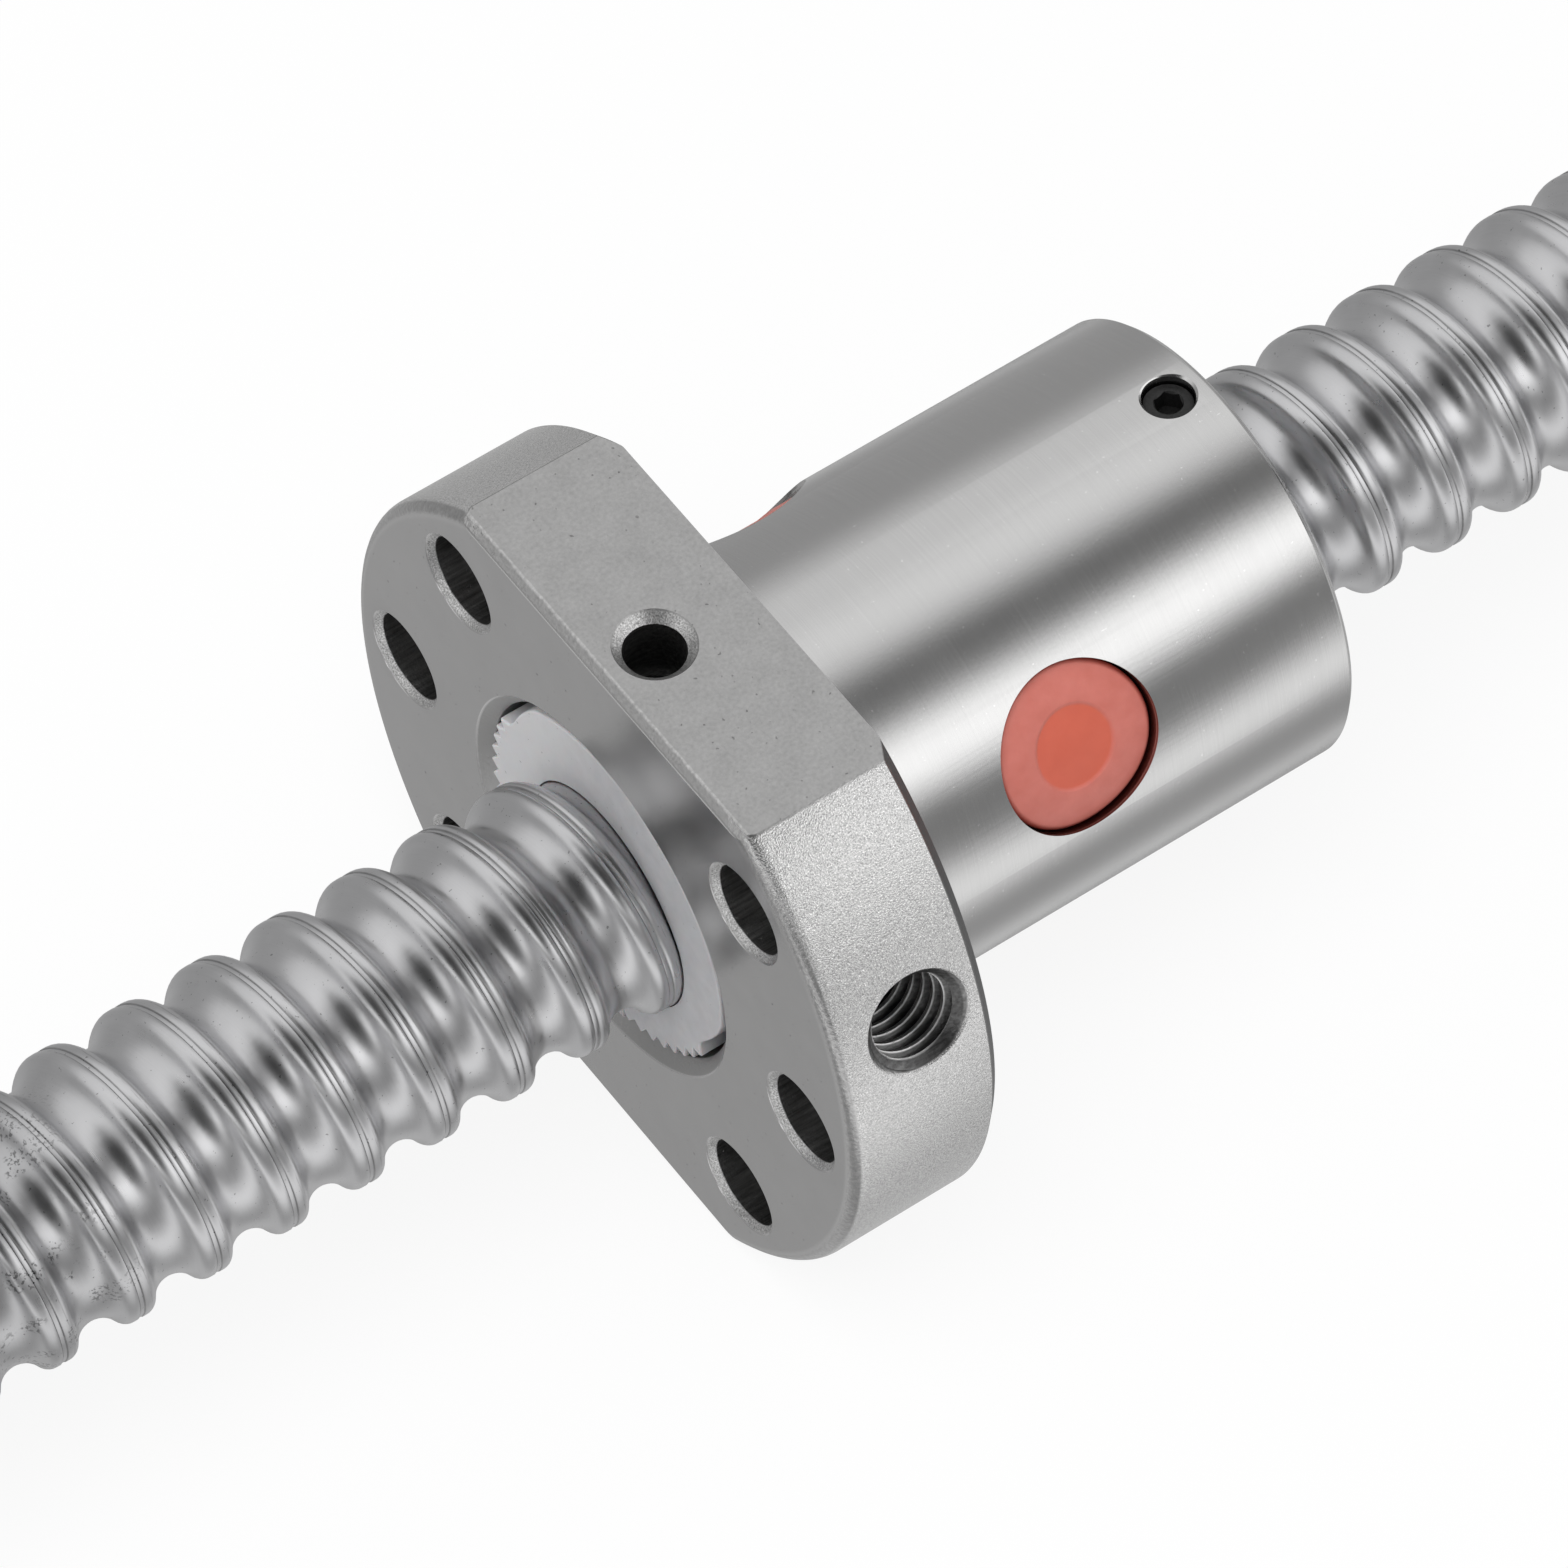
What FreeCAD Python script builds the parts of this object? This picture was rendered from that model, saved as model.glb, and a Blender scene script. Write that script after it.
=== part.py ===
import FreeCAD, Part
import itertools
import math
import os
from FreeCAD import Vector

# Flanged ball screw nut with three circuits of balls, on its rolled screw
# Millimetres. The axis of the screw is X, the barrel points along +X,
# the back of the flange, which seats on the machine, lies at x = 0,
# and the drilled flat of the flange faces +Z.

# Screw
LEAD_LENGTH = 5.0
SCREW_DIAMETER = 15.3
SCREW_FRONT_X = -85.0
SCREW_REAR_X = 65.0

# Balls and their track
BALL_DIAMETER = 3.175
BALL_CIRCLE = 16.2
TRACK_CLEARANCE = 0.15
BALLS_PER_CIRCUIT = 16
CIRCUITS = 3

# Barrel of the nut
BARREL_DIAMETER = 28.0
BARREL_LENGTH = 32.0
BORE_CLEARANCE = 0.6

# Flange
FLANGE_DIAMETER = 48.0
FLANGE_THICKNESS = 10.0
FLANGE_FLATS = 40.0
FLANGE_FRONT_ROUND = 1.0
FRONT_ROUND_CHORDS = 2
FLANGE_BACK_CHAMFER = 0.7
FLAT_FRONT_CHAMFER = 0.5
BOLT_CIRCLE_DIAMETER = 38.0
BOLT_HOLE = 5.5
BOLT_ANGLES = (0.0, 45.0, 135.0, 180.0, 225.0, 315.0)

# Grease port in the rim, threaded M6
PORT_ANGLE = 158.0
PORT_X = -4.6
PORT_TAP_DRILL = 5.0
PORT_DEPTH = 9.0
PORT_COUNTERSINK = 6.7
PORT_DUCT = 2.0
PORT_DUCT_WALL = 0.4

# Wipers in their seats at the two ends of the bore
WIPER_THICKNESS = 5.0
WIPER_SETBACK = 0.3
WIPER_SEAT_PLAY = 0.08
REAR_WIPER_PLAY = 0.1
WIPER_BORE_CLEARANCE = 0.22
WIPER_LIP_DEPTH = 0.75
WIPER_LIP_CLEARANCE = 0.18
FRONT_SEAT_DIAMETER = 22.4
FRONT_SEAT_CHAMFER = 0.8
REAR_SEAT_DIAMETER = 20.8
TOOTH_TIP_SETBACK = 0.2
TOOTH_HEIGHT = 0.45
TOOTH_STEP = 5.0
TEETH_PER_BAND = 10
NOTCH_DEPTH = 1.0
NOTCH_WIDTH = 24.0
WIPER_TURN = 118.0
WIPER_HALF_TOP = 66.0

# Set screws that hold the wipers
SET_SCREW = 3.0
SET_SCREW_PLAY = 0.05
SET_SCREW_LENGTH = 3.0
SET_SCREW_HEX = 1.5
SET_SCREW_HEX_DEPTH = 1.2
SET_SCREW_TIP_GAP = 0.1
FRONT_ACCESS_SETBACK = 3.7
FRONT_ACCESS_HOLE = 3.6
FRONT_ACCESS_CHAMFER = 0.6
FRONT_ACCESS_DEPTH = 5.0
REAR_SET_SCREW_SETBACK = 2.6
REAR_SET_SCREW_ANGLE = 86.0
REAR_SET_SCREW_CHAMFER = 0.15

# Return caps, which lift the balls over one crest of the screw
CAP_DIAMETER = 8.8
CAP_HOLE_PLAY = 0.1
CAP_SETBACK = 0.55
CAP_TO_REAR_SEAT = 1.53
MIDDLE_CAP_ANGLE = 147.5
CIRCUIT_TURNS_APART = 4.0 / 3.0
RETURN_HALF_ANGLE = 26.0
RETURN_LIFT = 1.3

# Sides of the facets that stand for the helical surfaces
SCREW_SIDES = 16
TRACK_SIDES = 12
GROOVE_CHORDS = 3
RETURN_STEP = 13.0
RETURN_RUN_OUT = 12.0
TRACK_SAMPLES = 720

# How far cutters reach past what they cut
CUT_PAST = 1.0
THREAD_CUT_PAST = 0.5
SAME_POINT = 0.0001

# Worked out from the sizes above
screw_radius = SCREW_DIAMETER / 2
ball_radius = BALL_DIAMETER / 2
ball_circle = BALL_CIRCLE / 2
groove_radius = ball_radius + TRACK_CLEARANCE
bore_radius = screw_radius + BORE_CLEARANCE
barrel_radius = BARREL_DIAMETER / 2
flange_radius = FLANGE_DIAMETER / 2
flat_height = FLANGE_FLATS / 2
front_x = -FLANGE_THICKNESS
seat_depth = WIPER_SETBACK + WIPER_THICKNESS
front_seat_radius = FRONT_SEAT_DIAMETER / 2
rear_seat_radius = REAR_SEAT_DIAMETER / 2
cap_radius = CAP_DIAMETER / 2
cap_hole_radius = cap_radius + CAP_HOLE_PLAY
cap_face_radius = barrel_radius - CAP_SETBACK
last_cap_x = BARREL_LENGTH - seat_depth - CAP_TO_REAR_SEAT - cap_hole_radius
middle_cap_x = last_cap_x - LEAD_LENGTH * CIRCUIT_TURNS_APART * (CIRCUITS - 1) / 2
front_set_screw_x = front_x + FRONT_ACCESS_SETBACK
rear_set_screw_x = BARREL_LENGTH - REAR_SET_SCREW_SETBACK
AXIS = Vector(1, 0, 0)
CENTRE = Vector(0, 0, 0)


def polar(x, radius, degrees):
    """Point at a radius and an angle about the screw, from +Y towards +Z."""
    a = math.radians(degrees)
    return Vector(x, radius * math.cos(a), radius * math.sin(a))


def crest_x(degrees):
    """Place along X of the crest that runs under the middle return cap."""
    return middle_cap_x + LEAD_LENGTH * (degrees - MIDDLE_CAP_ANGLE) / 360.0


def disc(x, radius, length):
    return Part.makeCylinder(radius, length, Vector(x, 0, 0), AXIS)


def line(a, b):
    return Part.makeLine(Vector(a[0], a[1], 0), Vector(b[0], b[1], 0))


def revolved(edges):
    """Solid of revolution about the screw of a closed outline of edges in the XY plane."""
    return Part.Face(Part.Wire(edges)).revolve(CENTRE, AXIS, 360)


def outline(points):
    """Straight edges through (x, radius) points and back to the first."""
    return [line(a, b) for a, b in zip(points, points[1:] + points[:1])]


def radial_pin(x, degrees, radius, inner, outer):
    """Round pin that points away from the screw axis, between two heights."""
    return Part.makeCylinder(radius, outer - inner, polar(x, inner, degrees), polar(0, 1, degrees))


def radial_cone(x, degrees, inner, inner_radius, outer, outer_radius):
    start = polar(x, inner, degrees)
    return Part.makeCone(inner_radius, outer_radius, outer - inner, start, polar(0, 1, degrees))


def facet_solid(points, facets):
    """Closed solid from shared points and triangles."""
    shell = Part.Shape()
    shell.makeShapeFromMesh((points, facets), SAME_POINT, False)
    solid = Part.Solid(Part.Shell(shell.Faces))
    if solid.Volume < 0:
        solid.reverse()
    return solid


def swept_facets(rings):
    """Closed solid through a row of rings that have as many points each."""
    size = len(rings[0])
    points = [p for ring in rings for p in ring]
    facets = []
    for row in range(len(rings) - 1):
        low = row * size
        for i in range(size):
            j = (i + 1) % size
            facets.append((low + i, low + j, low + size + i))
            facets.append((low + j, low + size + j, low + size + i))
    last = (len(rings) - 1) * size
    for i in range(1, size - 1):
        facets.append((0, i + 1, i))
        facets.append((last, last + i, last + i + 1))
    return facet_solid(points, facets)


# Thread of the screw and track of the nut
def screw_profile(grown=0.0):
    """One pitch of the screw's surface as (offset from the groove, radius) points.

    grown is how far a bore stands off the screw, for what clears it.
    """
    radius = groove_radius - grown
    half = math.acos((ball_circle - screw_radius - grown) / radius)
    corner = radius if grown else radius / math.cos(half / GROOVE_CHORDS)
    points = []
    for i in range(GROOVE_CHORDS + 1):
        a = half * (2.0 * i / GROOVE_CHORDS - 1)
        points.append((corner * math.sin(a), ball_circle - corner * math.cos(a)))
    return points


def nut_profile():
    """One pitch of the nut's surface, with the land at the radius of the bore."""
    half = math.acos((bore_radius - ball_circle) / groove_radius)
    corner = groove_radius / math.cos(half / GROOVE_CHORDS)
    points = []
    for i in range(GROOVE_CHORDS + 1):
        a = half * (2.0 * i / GROOVE_CHORDS - 1)
        points.append((corner * math.sin(a), ball_circle + corner * math.cos(a)))
    return points


def clipped(polygon, limit, keep_above):
    """What lies of a flat polygon on one side of the plane x = limit."""
    out = []
    for a, b in zip(polygon, polygon[1:] + polygon[:1]):
        a_in = a.x >= limit if keep_above else a.x <= limit
        b_in = b.x >= limit if keep_above else b.x <= limit
        if a_in:
            out.append(a)
        if a_in != b_in:
            p = a + (b - a) * ((limit - a.x) / (b.x - a.x))
            p.x = limit
            out.append(p)
    return out


def make_thread(start_x, end_x, profile, sides, hollow):
    """Threaded rod between two flat ends, as facets that follow the helix.

    Its corners lie on the helix, or its sides do where it cuts a hollow.
    """
    rows = len(profile)
    groove = crest_x(0) + LEAD_LENGTH / 2
    swell = 1 / math.cos(math.pi / sides) if hollow else 1.0
    first = math.floor((start_x - groove - LEAD_LENGTH) / LEAD_LENGTH * sides) - 1
    last = math.ceil((end_x - groove + LEAD_LENGTH) / LEAD_LENGTH * sides) + 1
    index = {}
    points = []
    facets = []
    rims = {start_x: set(), end_x: set()}

    def corner(row, step):
        if row == rows:
            return corner(0, step + sides)
        offset, radius = profile[row]
        return polar(groove + offset + LEAD_LENGTH * step / sides, radius * swell, 360.0 * step / sides)

    def number(p):
        key = (round(p.x, 5), round(p.y, 5), round(p.z, 5))
        if key not in index:
            index[key] = len(points)
            points.append(p)
            if p.x in rims:
                rims[p.x].add(index[key])
        return index[key]

    for step in range(first, last):
        for row in range(rows):
            a, b = corner(row, step), corner(row + 1, step)
            c, d = corner(row + 1, step + 1), corner(row, step + 1)
            for triangle in ([a, b, c], [a, c, d]):
                flat = clipped(clipped(triangle, start_x, True), end_x, False)
                ids = [number(p) for p in flat]
                ids = [n for i, n in enumerate(ids) if n != ids[i - 1]]
                for i in range(1, len(ids) - 1):
                    facets.append((ids[0], ids[i + 1], ids[i]))
    for x in (start_x, end_x):
        ring = sorted(rims[x], key=lambda n: math.atan2(points[n].z, points[n].y))
        middle = number(Vector(x, 0, 0))
        for a, b in zip(ring, ring[1:] + ring[:1]):
            facets.append((middle, b, a) if x == start_x else (middle, a, b))
    return facet_solid(points, facets)


def make_screw():
    return make_thread(SCREW_FRONT_X, SCREW_REAR_X, screw_profile(), SCREW_SIDES, False)


# Track of the balls
def circuit_angle(circuit):
    """Angle of a circuit's return cap along the helix, whole turns counted."""
    return MIDDLE_CAP_ANGLE + 360.0 * CIRCUIT_TURNS_APART * (circuit - (CIRCUITS + 1) / 2)


def track_point(circuit, turn):
    """Ball centre at a number of degrees past the middle of the return cap.

    The ball climbs over the crest under the cap and follows the groove elsewhere.
    """
    angle = circuit_angle(circuit) + turn
    u = max(-1.0, min(1.0, turn / RETURN_HALF_ANGLE))
    across = 1.5 * u - 0.5 * u ** 3
    lift = RETURN_LIFT * (1 - u * u) ** 2
    return polar(crest_x(angle) - LEAD_LENGTH / 2 * across, ball_circle + lift, angle)


def track_ring(circuit, turn):
    """Section of the space that a rolling ball sweeps, open towards the screw."""
    here = track_point(circuit, turn)
    ahead = track_point(circuit, turn + 0.5) - track_point(circuit, turn - 0.5)
    out = Vector(0, here.y, here.z).normalize()
    side = ahead.cross(out).normalize()
    radius = groove_radius / math.cos(math.pi / 2 / GROOVE_CHORDS)
    ring = [here - side * radius - out * ball_radius, here + side * radius - out * ball_radius]
    for i in range(GROOVE_CHORDS + 1):
        a = math.pi * i / GROOVE_CHORDS
        ring.append(here + side * (radius * math.cos(a)) + out * (radius * math.sin(a)))
    return ring


def make_return_channel(circuit):
    reach = RETURN_HALF_ANGLE + RETURN_RUN_OUT
    count = math.ceil(2 * reach / RETURN_STEP)
    return swept_facets([track_ring(circuit, reach * (2.0 * i / count - 1)) for i in range(count + 1)])


def ball_centres(circuit):
    """Evenly spaced places of the balls round one closed circuit."""
    step = 360.0 / TRACK_SAMPLES
    path = [track_point(circuit, step * i - RETURN_HALF_ANGLE) for i in range(TRACK_SAMPLES)]
    lengths = [0.0]
    for before, after in zip(path, path[1:] + path[:1]):
        lengths.append(lengths[-1] + (after - before).Length)
    spacing = lengths[-1] / BALLS_PER_CIRCUIT
    centres = []
    for n in range(BALLS_PER_CIRCUIT):
        target = spacing * (n + 0.5)
        i = max(k for k in range(TRACK_SAMPLES) if lengths[k] <= target)
        centres.append(path[i])
    return centres


def make_ball(centre):
    """Ball as a body of 20 triangles whose corners lie on the sphere."""
    golden = (1 + math.sqrt(5)) / 2
    corners = []
    for a in (-1, 1):
        for b in (-golden, golden):
            corners += [Vector(0, a, b), Vector(a, b, 0), Vector(b, 0, a)]
    edge = min((c - corners[0]).Length for c in corners[1:])
    scale = ball_radius / corners[0].Length
    faces = []
    for trio in itertools.combinations(corners, 3):
        if all((p - q).Length - edge < SAME_POINT for p, q in itertools.combinations(trio, 2)):
            p, q, r = trio
            ring = [p, q, r, p] if (q - p).cross(r - p).dot(p) > 0 else [p, r, q, p]
            faces.append(Part.Face(Part.makePolygon([centre + c * scale for c in ring])))
    return Part.Solid(Part.Shell(faces))


# Nut
def make_nut():
    back = FLANGE_BACK_CHAMFER
    soft = FLANGE_FRONT_ROUND
    edge = [math.radians(90.0 * i / FRONT_ROUND_CHORDS) for i in range(FRONT_ROUND_CHORDS + 1)]
    section = [(front_x + soft - soft * math.cos(a), flange_radius - soft + soft * math.sin(a))
               for a in edge]
    section += [(-back, flange_radius), (0, flange_radius - back), (0, barrel_radius),
                (BARREL_LENGTH, barrel_radius), (BARREL_LENGTH, rear_seat_radius),
                (BARREL_LENGTH - seat_depth, rear_seat_radius),
                (BARREL_LENGTH - seat_depth, 0),
                (front_x + seat_depth, 0),
                (front_x + seat_depth, front_seat_radius),
                (front_x + FRONT_SEAT_CHAMFER, front_seat_radius),
                (front_x, front_seat_radius + FRONT_SEAT_CHAMFER)]
    nut = revolved(outline(section))
    cuts = [flat_cutter(90), flat_cutter(270)]
    cuts += [bolt_hole(angle) for angle in BOLT_ANGLES]
    cuts += port_cutters() + set_screw_holes()
    cuts += [cap_hole(circuit) for circuit in range(1, CIRCUITS + 1)]
    nut = nut.cut(cuts)
    start = front_x + seat_depth - THREAD_CUT_PAST
    end = BARREL_LENGTH - seat_depth + THREAD_CUT_PAST
    nut = nut.cut(make_thread(start, end, nut_profile(), TRACK_SIDES, True))
    return nut.cut([make_return_channel(circuit) for circuit in range(1, CIRCUITS + 1)])


def flat_cutter(degrees):
    """Stock beyond a flat of the flange, with the chamfer of its front edge."""
    slope = FLAT_FRONT_CHAMFER
    over = CUT_PAST
    corners = [(front_x - over, flat_height - slope - over), (front_x + slope, flat_height),
               (over, flat_height), (over, flange_radius + over),
               (front_x - over, flange_radius + over)]
    side = [Vector(x, -flange_radius - over, z) for x, z in corners]
    face = Part.Face(Part.makePolygon(side + side[:1]))
    block = face.extrude(Vector(0, 2 * (flange_radius + over), 0))
    block.rotate(CENTRE, AXIS, degrees - 90)
    return block


def bolt_hole(degrees):
    start = polar(front_x - CUT_PAST, BOLT_CIRCLE_DIAMETER / 2, degrees)
    return Part.makeCylinder(BOLT_HOLE / 2, FLANGE_THICKNESS + 2 * CUT_PAST, start, AXIS)


def countersunk(x, degrees, hole, inner, surface, wide):
    """Radial hole with a 45 degree countersink that is wide at the surface."""
    over = CUT_PAST
    depth = (wide - hole) / 2
    pin = radial_pin(x, degrees, hole / 2, inner, surface + over)
    sink = radial_cone(x, degrees, surface - depth, hole / 2, surface + over, wide / 2 + over)
    return pin.fuse(sink)


def port_cutters():
    bottom = flange_radius - PORT_DEPTH
    duct_x = front_x + seat_depth + PORT_DUCT_WALL + PORT_DUCT / 2
    port = countersunk(PORT_X, PORT_ANGLE, PORT_TAP_DRILL, bottom, flange_radius, PORT_COUNTERSINK)
    duct = radial_pin(duct_x, PORT_ANGLE, PORT_DUCT / 2, screw_radius, bottom + PORT_DUCT)
    return [port, duct]


def set_screw_holes():
    hole = SET_SCREW + 2 * SET_SCREW_PLAY
    wide = FRONT_ACCESS_HOLE + 2 * FRONT_ACCESS_CHAMFER
    bottom = flat_height - FRONT_ACCESS_DEPTH
    access = countersunk(front_set_screw_x, 90, FRONT_ACCESS_HOLE, bottom, flat_height, wide)
    front = radial_pin(front_set_screw_x, 90, hole / 2, bore_radius, bottom + CUT_PAST)
    rear = countersunk(rear_set_screw_x, REAR_SET_SCREW_ANGLE, hole, bore_radius,
                       barrel_radius, hole + 2 * REAR_SET_SCREW_CHAMFER)
    return [access, front, rear]


def cap_place(circuit):
    angle = circuit_angle(circuit)
    return crest_x(angle), angle


def cap_hole(circuit):
    x, angle = cap_place(circuit)
    return radial_pin(x, angle, cap_hole_radius, screw_radius / 2, barrel_radius + CUT_PAST)


def make_return_cap(circuit):
    """Cap whose face follows the barrel and whose channel lifts the balls over the crest."""
    x, angle = cap_place(circuit)
    start = x - CAP_DIAMETER
    length = 2 * CAP_DIAMETER
    ring = disc(start, cap_face_radius, length).cut(disc(start, bore_radius, length))
    cap = ring.common(radial_pin(x, angle, cap_radius, screw_radius / 2, barrel_radius))
    return cap.cut(make_return_channel(circuit))


# Wipers
def toothed_outline(x):
    """Edge of the front wiper: plain arcs, two notches and two bands of teeth."""
    outer = front_seat_radius - WIPER_SEAT_PLAY
    tip = outer - TOOTH_TIP_SETBACK
    root = tip - TOOTH_HEIGHT
    low = outer - NOTCH_DEPTH
    teeth = [(0.0, root)]
    for i in range(TEETH_PER_BAND):
        teeth += [(TOOTH_STEP * (i + 0.5), tip), (TOOTH_STEP * (i + 1), root)]
    band = TOOTH_STEP * TEETH_PER_BAND
    first = WIPER_HALF_TOP + NOTCH_WIDTH
    left = [(WIPER_TURN + first + a, r) for a, r in teeth]
    right = [(WIPER_TURN - first - a, r) for a, r in reversed(teeth)]
    top = (WIPER_TURN - WIPER_HALF_TOP, WIPER_TURN + WIPER_HALF_TOP)
    edges = [arc_edge(x, outer, *top)]
    edges.append(Part.makeLine(polar(x, outer, top[1]), polar(x, low, top[1])))
    edges.append(arc_edge(x, low, top[1], left[0][0]))
    chain = [(left[0][0], low)] + left + [(left[-1][0], outer)]
    edges += [Part.makeLine(polar(x, r, a), polar(x, s, b)) for (a, r), (b, s) in zip(chain, chain[1:])]
    edges.append(arc_edge(x, outer, left[-1][0], right[0][0] + 360))
    chain = [(right[0][0], outer)] + right + [(right[-1][0], low)]
    edges += [Part.makeLine(polar(x, r, a), polar(x, s, b)) for (a, r), (b, s) in zip(chain, chain[1:])]
    edges.append(arc_edge(x, low, right[-1][0], top[0]))
    edges.append(Part.makeLine(polar(x, low, top[0]), polar(x, outer, top[0])))
    return Part.Face(Part.Wire(edges))


def arc_edge(x, radius, start, end):
    middle = (start + end) / 2
    return Part.Arc(polar(x, radius, start), polar(x, radius, middle), polar(x, radius, end)).toShape()


def make_front_wiper():
    start = front_x + WIPER_SETBACK
    ring = toothed_outline(start).extrude(AXIS * WIPER_THICKNESS)
    bore = screw_radius + WIPER_BORE_CLEARANCE
    deep = start + WIPER_LIP_DEPTH
    lip = make_thread(start - CUT_PAST, deep + THREAD_CUT_PAST, screw_profile(WIPER_LIP_CLEARANCE),
                      SCREW_SIDES, True)
    return ring.cut([disc(deep, bore, WIPER_THICKNESS), lip])


def make_rear_wiper():
    start = BARREL_LENGTH - seat_depth
    end = start + WIPER_THICKNESS
    outer = rear_seat_radius - REAR_WIPER_PLAY
    bore = screw_radius + WIPER_BORE_CLEARANCE
    return revolved(outline([(start, bore), (start, outer), (end, outer), (end, bore)]))


def make_set_screw(x, degrees, tip):
    """Headless screw with a hexagon socket, its tip at a height above the axis."""
    end = tip + SET_SCREW_LENGTH
    body = radial_pin(x, degrees, SET_SCREW / 2, tip, end)
    corner = SET_SCREW_HEX / math.sqrt(3)
    across = polar(0, 1, degrees + 90)
    base = polar(x, end - SET_SCREW_HEX_DEPTH, degrees)
    turns = [math.radians(60 * i) for i in range(7)]
    socket = [base + AXIS * (corner * math.cos(a)) + across * (corner * math.sin(a)) for a in turns]
    hexagon = Part.Face(Part.makePolygon(socket)).extrude(polar(0, SET_SCREW_HEX_DEPTH + CUT_PAST, degrees))
    return body.cut(hexagon)


# The assembly
def all_pieces():
    yield "screw", make_screw()
    yield "nut_body", make_nut()
    yield "front_wiper", make_front_wiper()
    yield "rear_wiper", make_rear_wiper()
    for circuit in range(1, CIRCUITS + 1):
        yield f"return_cap_{circuit}", make_return_cap(circuit)
        for number, centre in enumerate(ball_centres(circuit), 1):
            yield f"ball_{circuit}_{number:02d}", make_ball(centre)
    front_tip = front_seat_radius - WIPER_SEAT_PLAY + SET_SCREW_TIP_GAP
    rear_tip = rear_seat_radius - REAR_WIPER_PLAY + SET_SCREW_TIP_GAP
    yield "front_set_screw", make_set_screw(front_set_screw_x, 90, front_tip)
    yield "rear_set_screw", make_set_screw(rear_set_screw_x, REAR_SET_SCREW_ANGLE, rear_tip)


os.makedirs("parts", exist_ok=True)
for name, shape in all_pieces():
    print(name, shape.isValid(), len(shape.Solids), round(shape.Volume, 2), len(shape.Faces))
    shape.exportStep(f"parts/{name}.step")
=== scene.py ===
import math
import bmesh
import bpy
from mathutils import Matrix, Vector


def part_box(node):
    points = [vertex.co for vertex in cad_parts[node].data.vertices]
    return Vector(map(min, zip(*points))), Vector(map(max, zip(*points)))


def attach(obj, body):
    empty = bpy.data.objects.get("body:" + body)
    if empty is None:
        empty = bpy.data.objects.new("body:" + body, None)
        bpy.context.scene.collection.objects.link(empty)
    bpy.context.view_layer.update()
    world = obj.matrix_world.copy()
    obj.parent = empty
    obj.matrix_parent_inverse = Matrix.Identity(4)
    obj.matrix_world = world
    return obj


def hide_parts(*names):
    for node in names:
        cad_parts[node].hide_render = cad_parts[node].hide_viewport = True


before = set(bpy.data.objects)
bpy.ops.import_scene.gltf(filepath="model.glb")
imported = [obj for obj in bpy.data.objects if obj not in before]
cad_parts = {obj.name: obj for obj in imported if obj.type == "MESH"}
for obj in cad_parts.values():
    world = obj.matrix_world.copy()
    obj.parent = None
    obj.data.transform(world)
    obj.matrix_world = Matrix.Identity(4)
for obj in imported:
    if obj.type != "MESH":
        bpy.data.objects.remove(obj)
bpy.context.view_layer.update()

mm = 0.001
weldDistance = 2e-7  # in metres, as Blender counts
scene = bpy.context.scene

# what the pieces share, in mm and degrees; angles run from +Y towards +Z
thread = {
    "pitch": 5.0,
    "screwRadius": 7.65,
    "ballCircle": 8.1,
    "ballRadius": 1.5875,
    "grooveRadius": 1.7375,
    "crestX": 14.003,  # a crest runs under the middle return cap
    "crestAngle": 147.5,
    "turnsApart": 4 / 3,
    "ballsPerCircuit": 16,
    "returnHalfAngle": 26.0,
    "returnLift": 1.3,
}
grooveStart = thread["crestX"] - thread["pitch"] * thread["crestAngle"] / 360 + thread["pitch"] / 2


def polar(x, radius, degrees):
    a = math.radians(degrees)
    return Vector((x, radius * math.cos(a), radius * math.sin(a))) * mm


# node graphs

class Wire:
    # an output socket that Python operators can work on
    def __init__(self, graph, socket):
        self.graph = graph
        self.socket = socket

    def pin(self, name):
        return Wire(self.graph, self.socket.node.outputs[name])

    def maths(self, operation, *values):
        kind = {"operation": operation}
        inputs = {i: v for i, v in enumerate((self,) + values)}
        return self.graph.node("ShaderNodeMath", kind, inputs)

    def __add__(self, other):
        return self.maths("ADD", other)

    __radd__ = __add__

    def __mul__(self, other):
        return self.maths("MULTIPLY", other)

    __rmul__ = __mul__

    def __sub__(self, other):
        return self.maths("SUBTRACT", other)

    def __rsub__(self, other):
        return self.graph.node("ShaderNodeMath", {"operation": "SUBTRACT"}, {0: other, 1: self})

    def __truediv__(self, other):
        return self.maths("DIVIDE", other)

    def above(self, edge, soft):
        # 0 below the edge, 1 above it, with a soft step between
        return self.graph.node("ShaderNodeMapRange", {"interpolation_type": "SMOOTHSTEP"},
                               {"Value": self, "From Min": edge - soft, "From Max": edge + soft})

    def below(self, edge, soft):
        return 1.0 - self.above(edge, soft)

    def spread(self, amount):
        # a noise made to swing both ways about nothing
        return (self - 0.5) * amount

    def clamped(self):
        return self.graph.node("ShaderNodeClamp", {}, {"Value": self})


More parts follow.
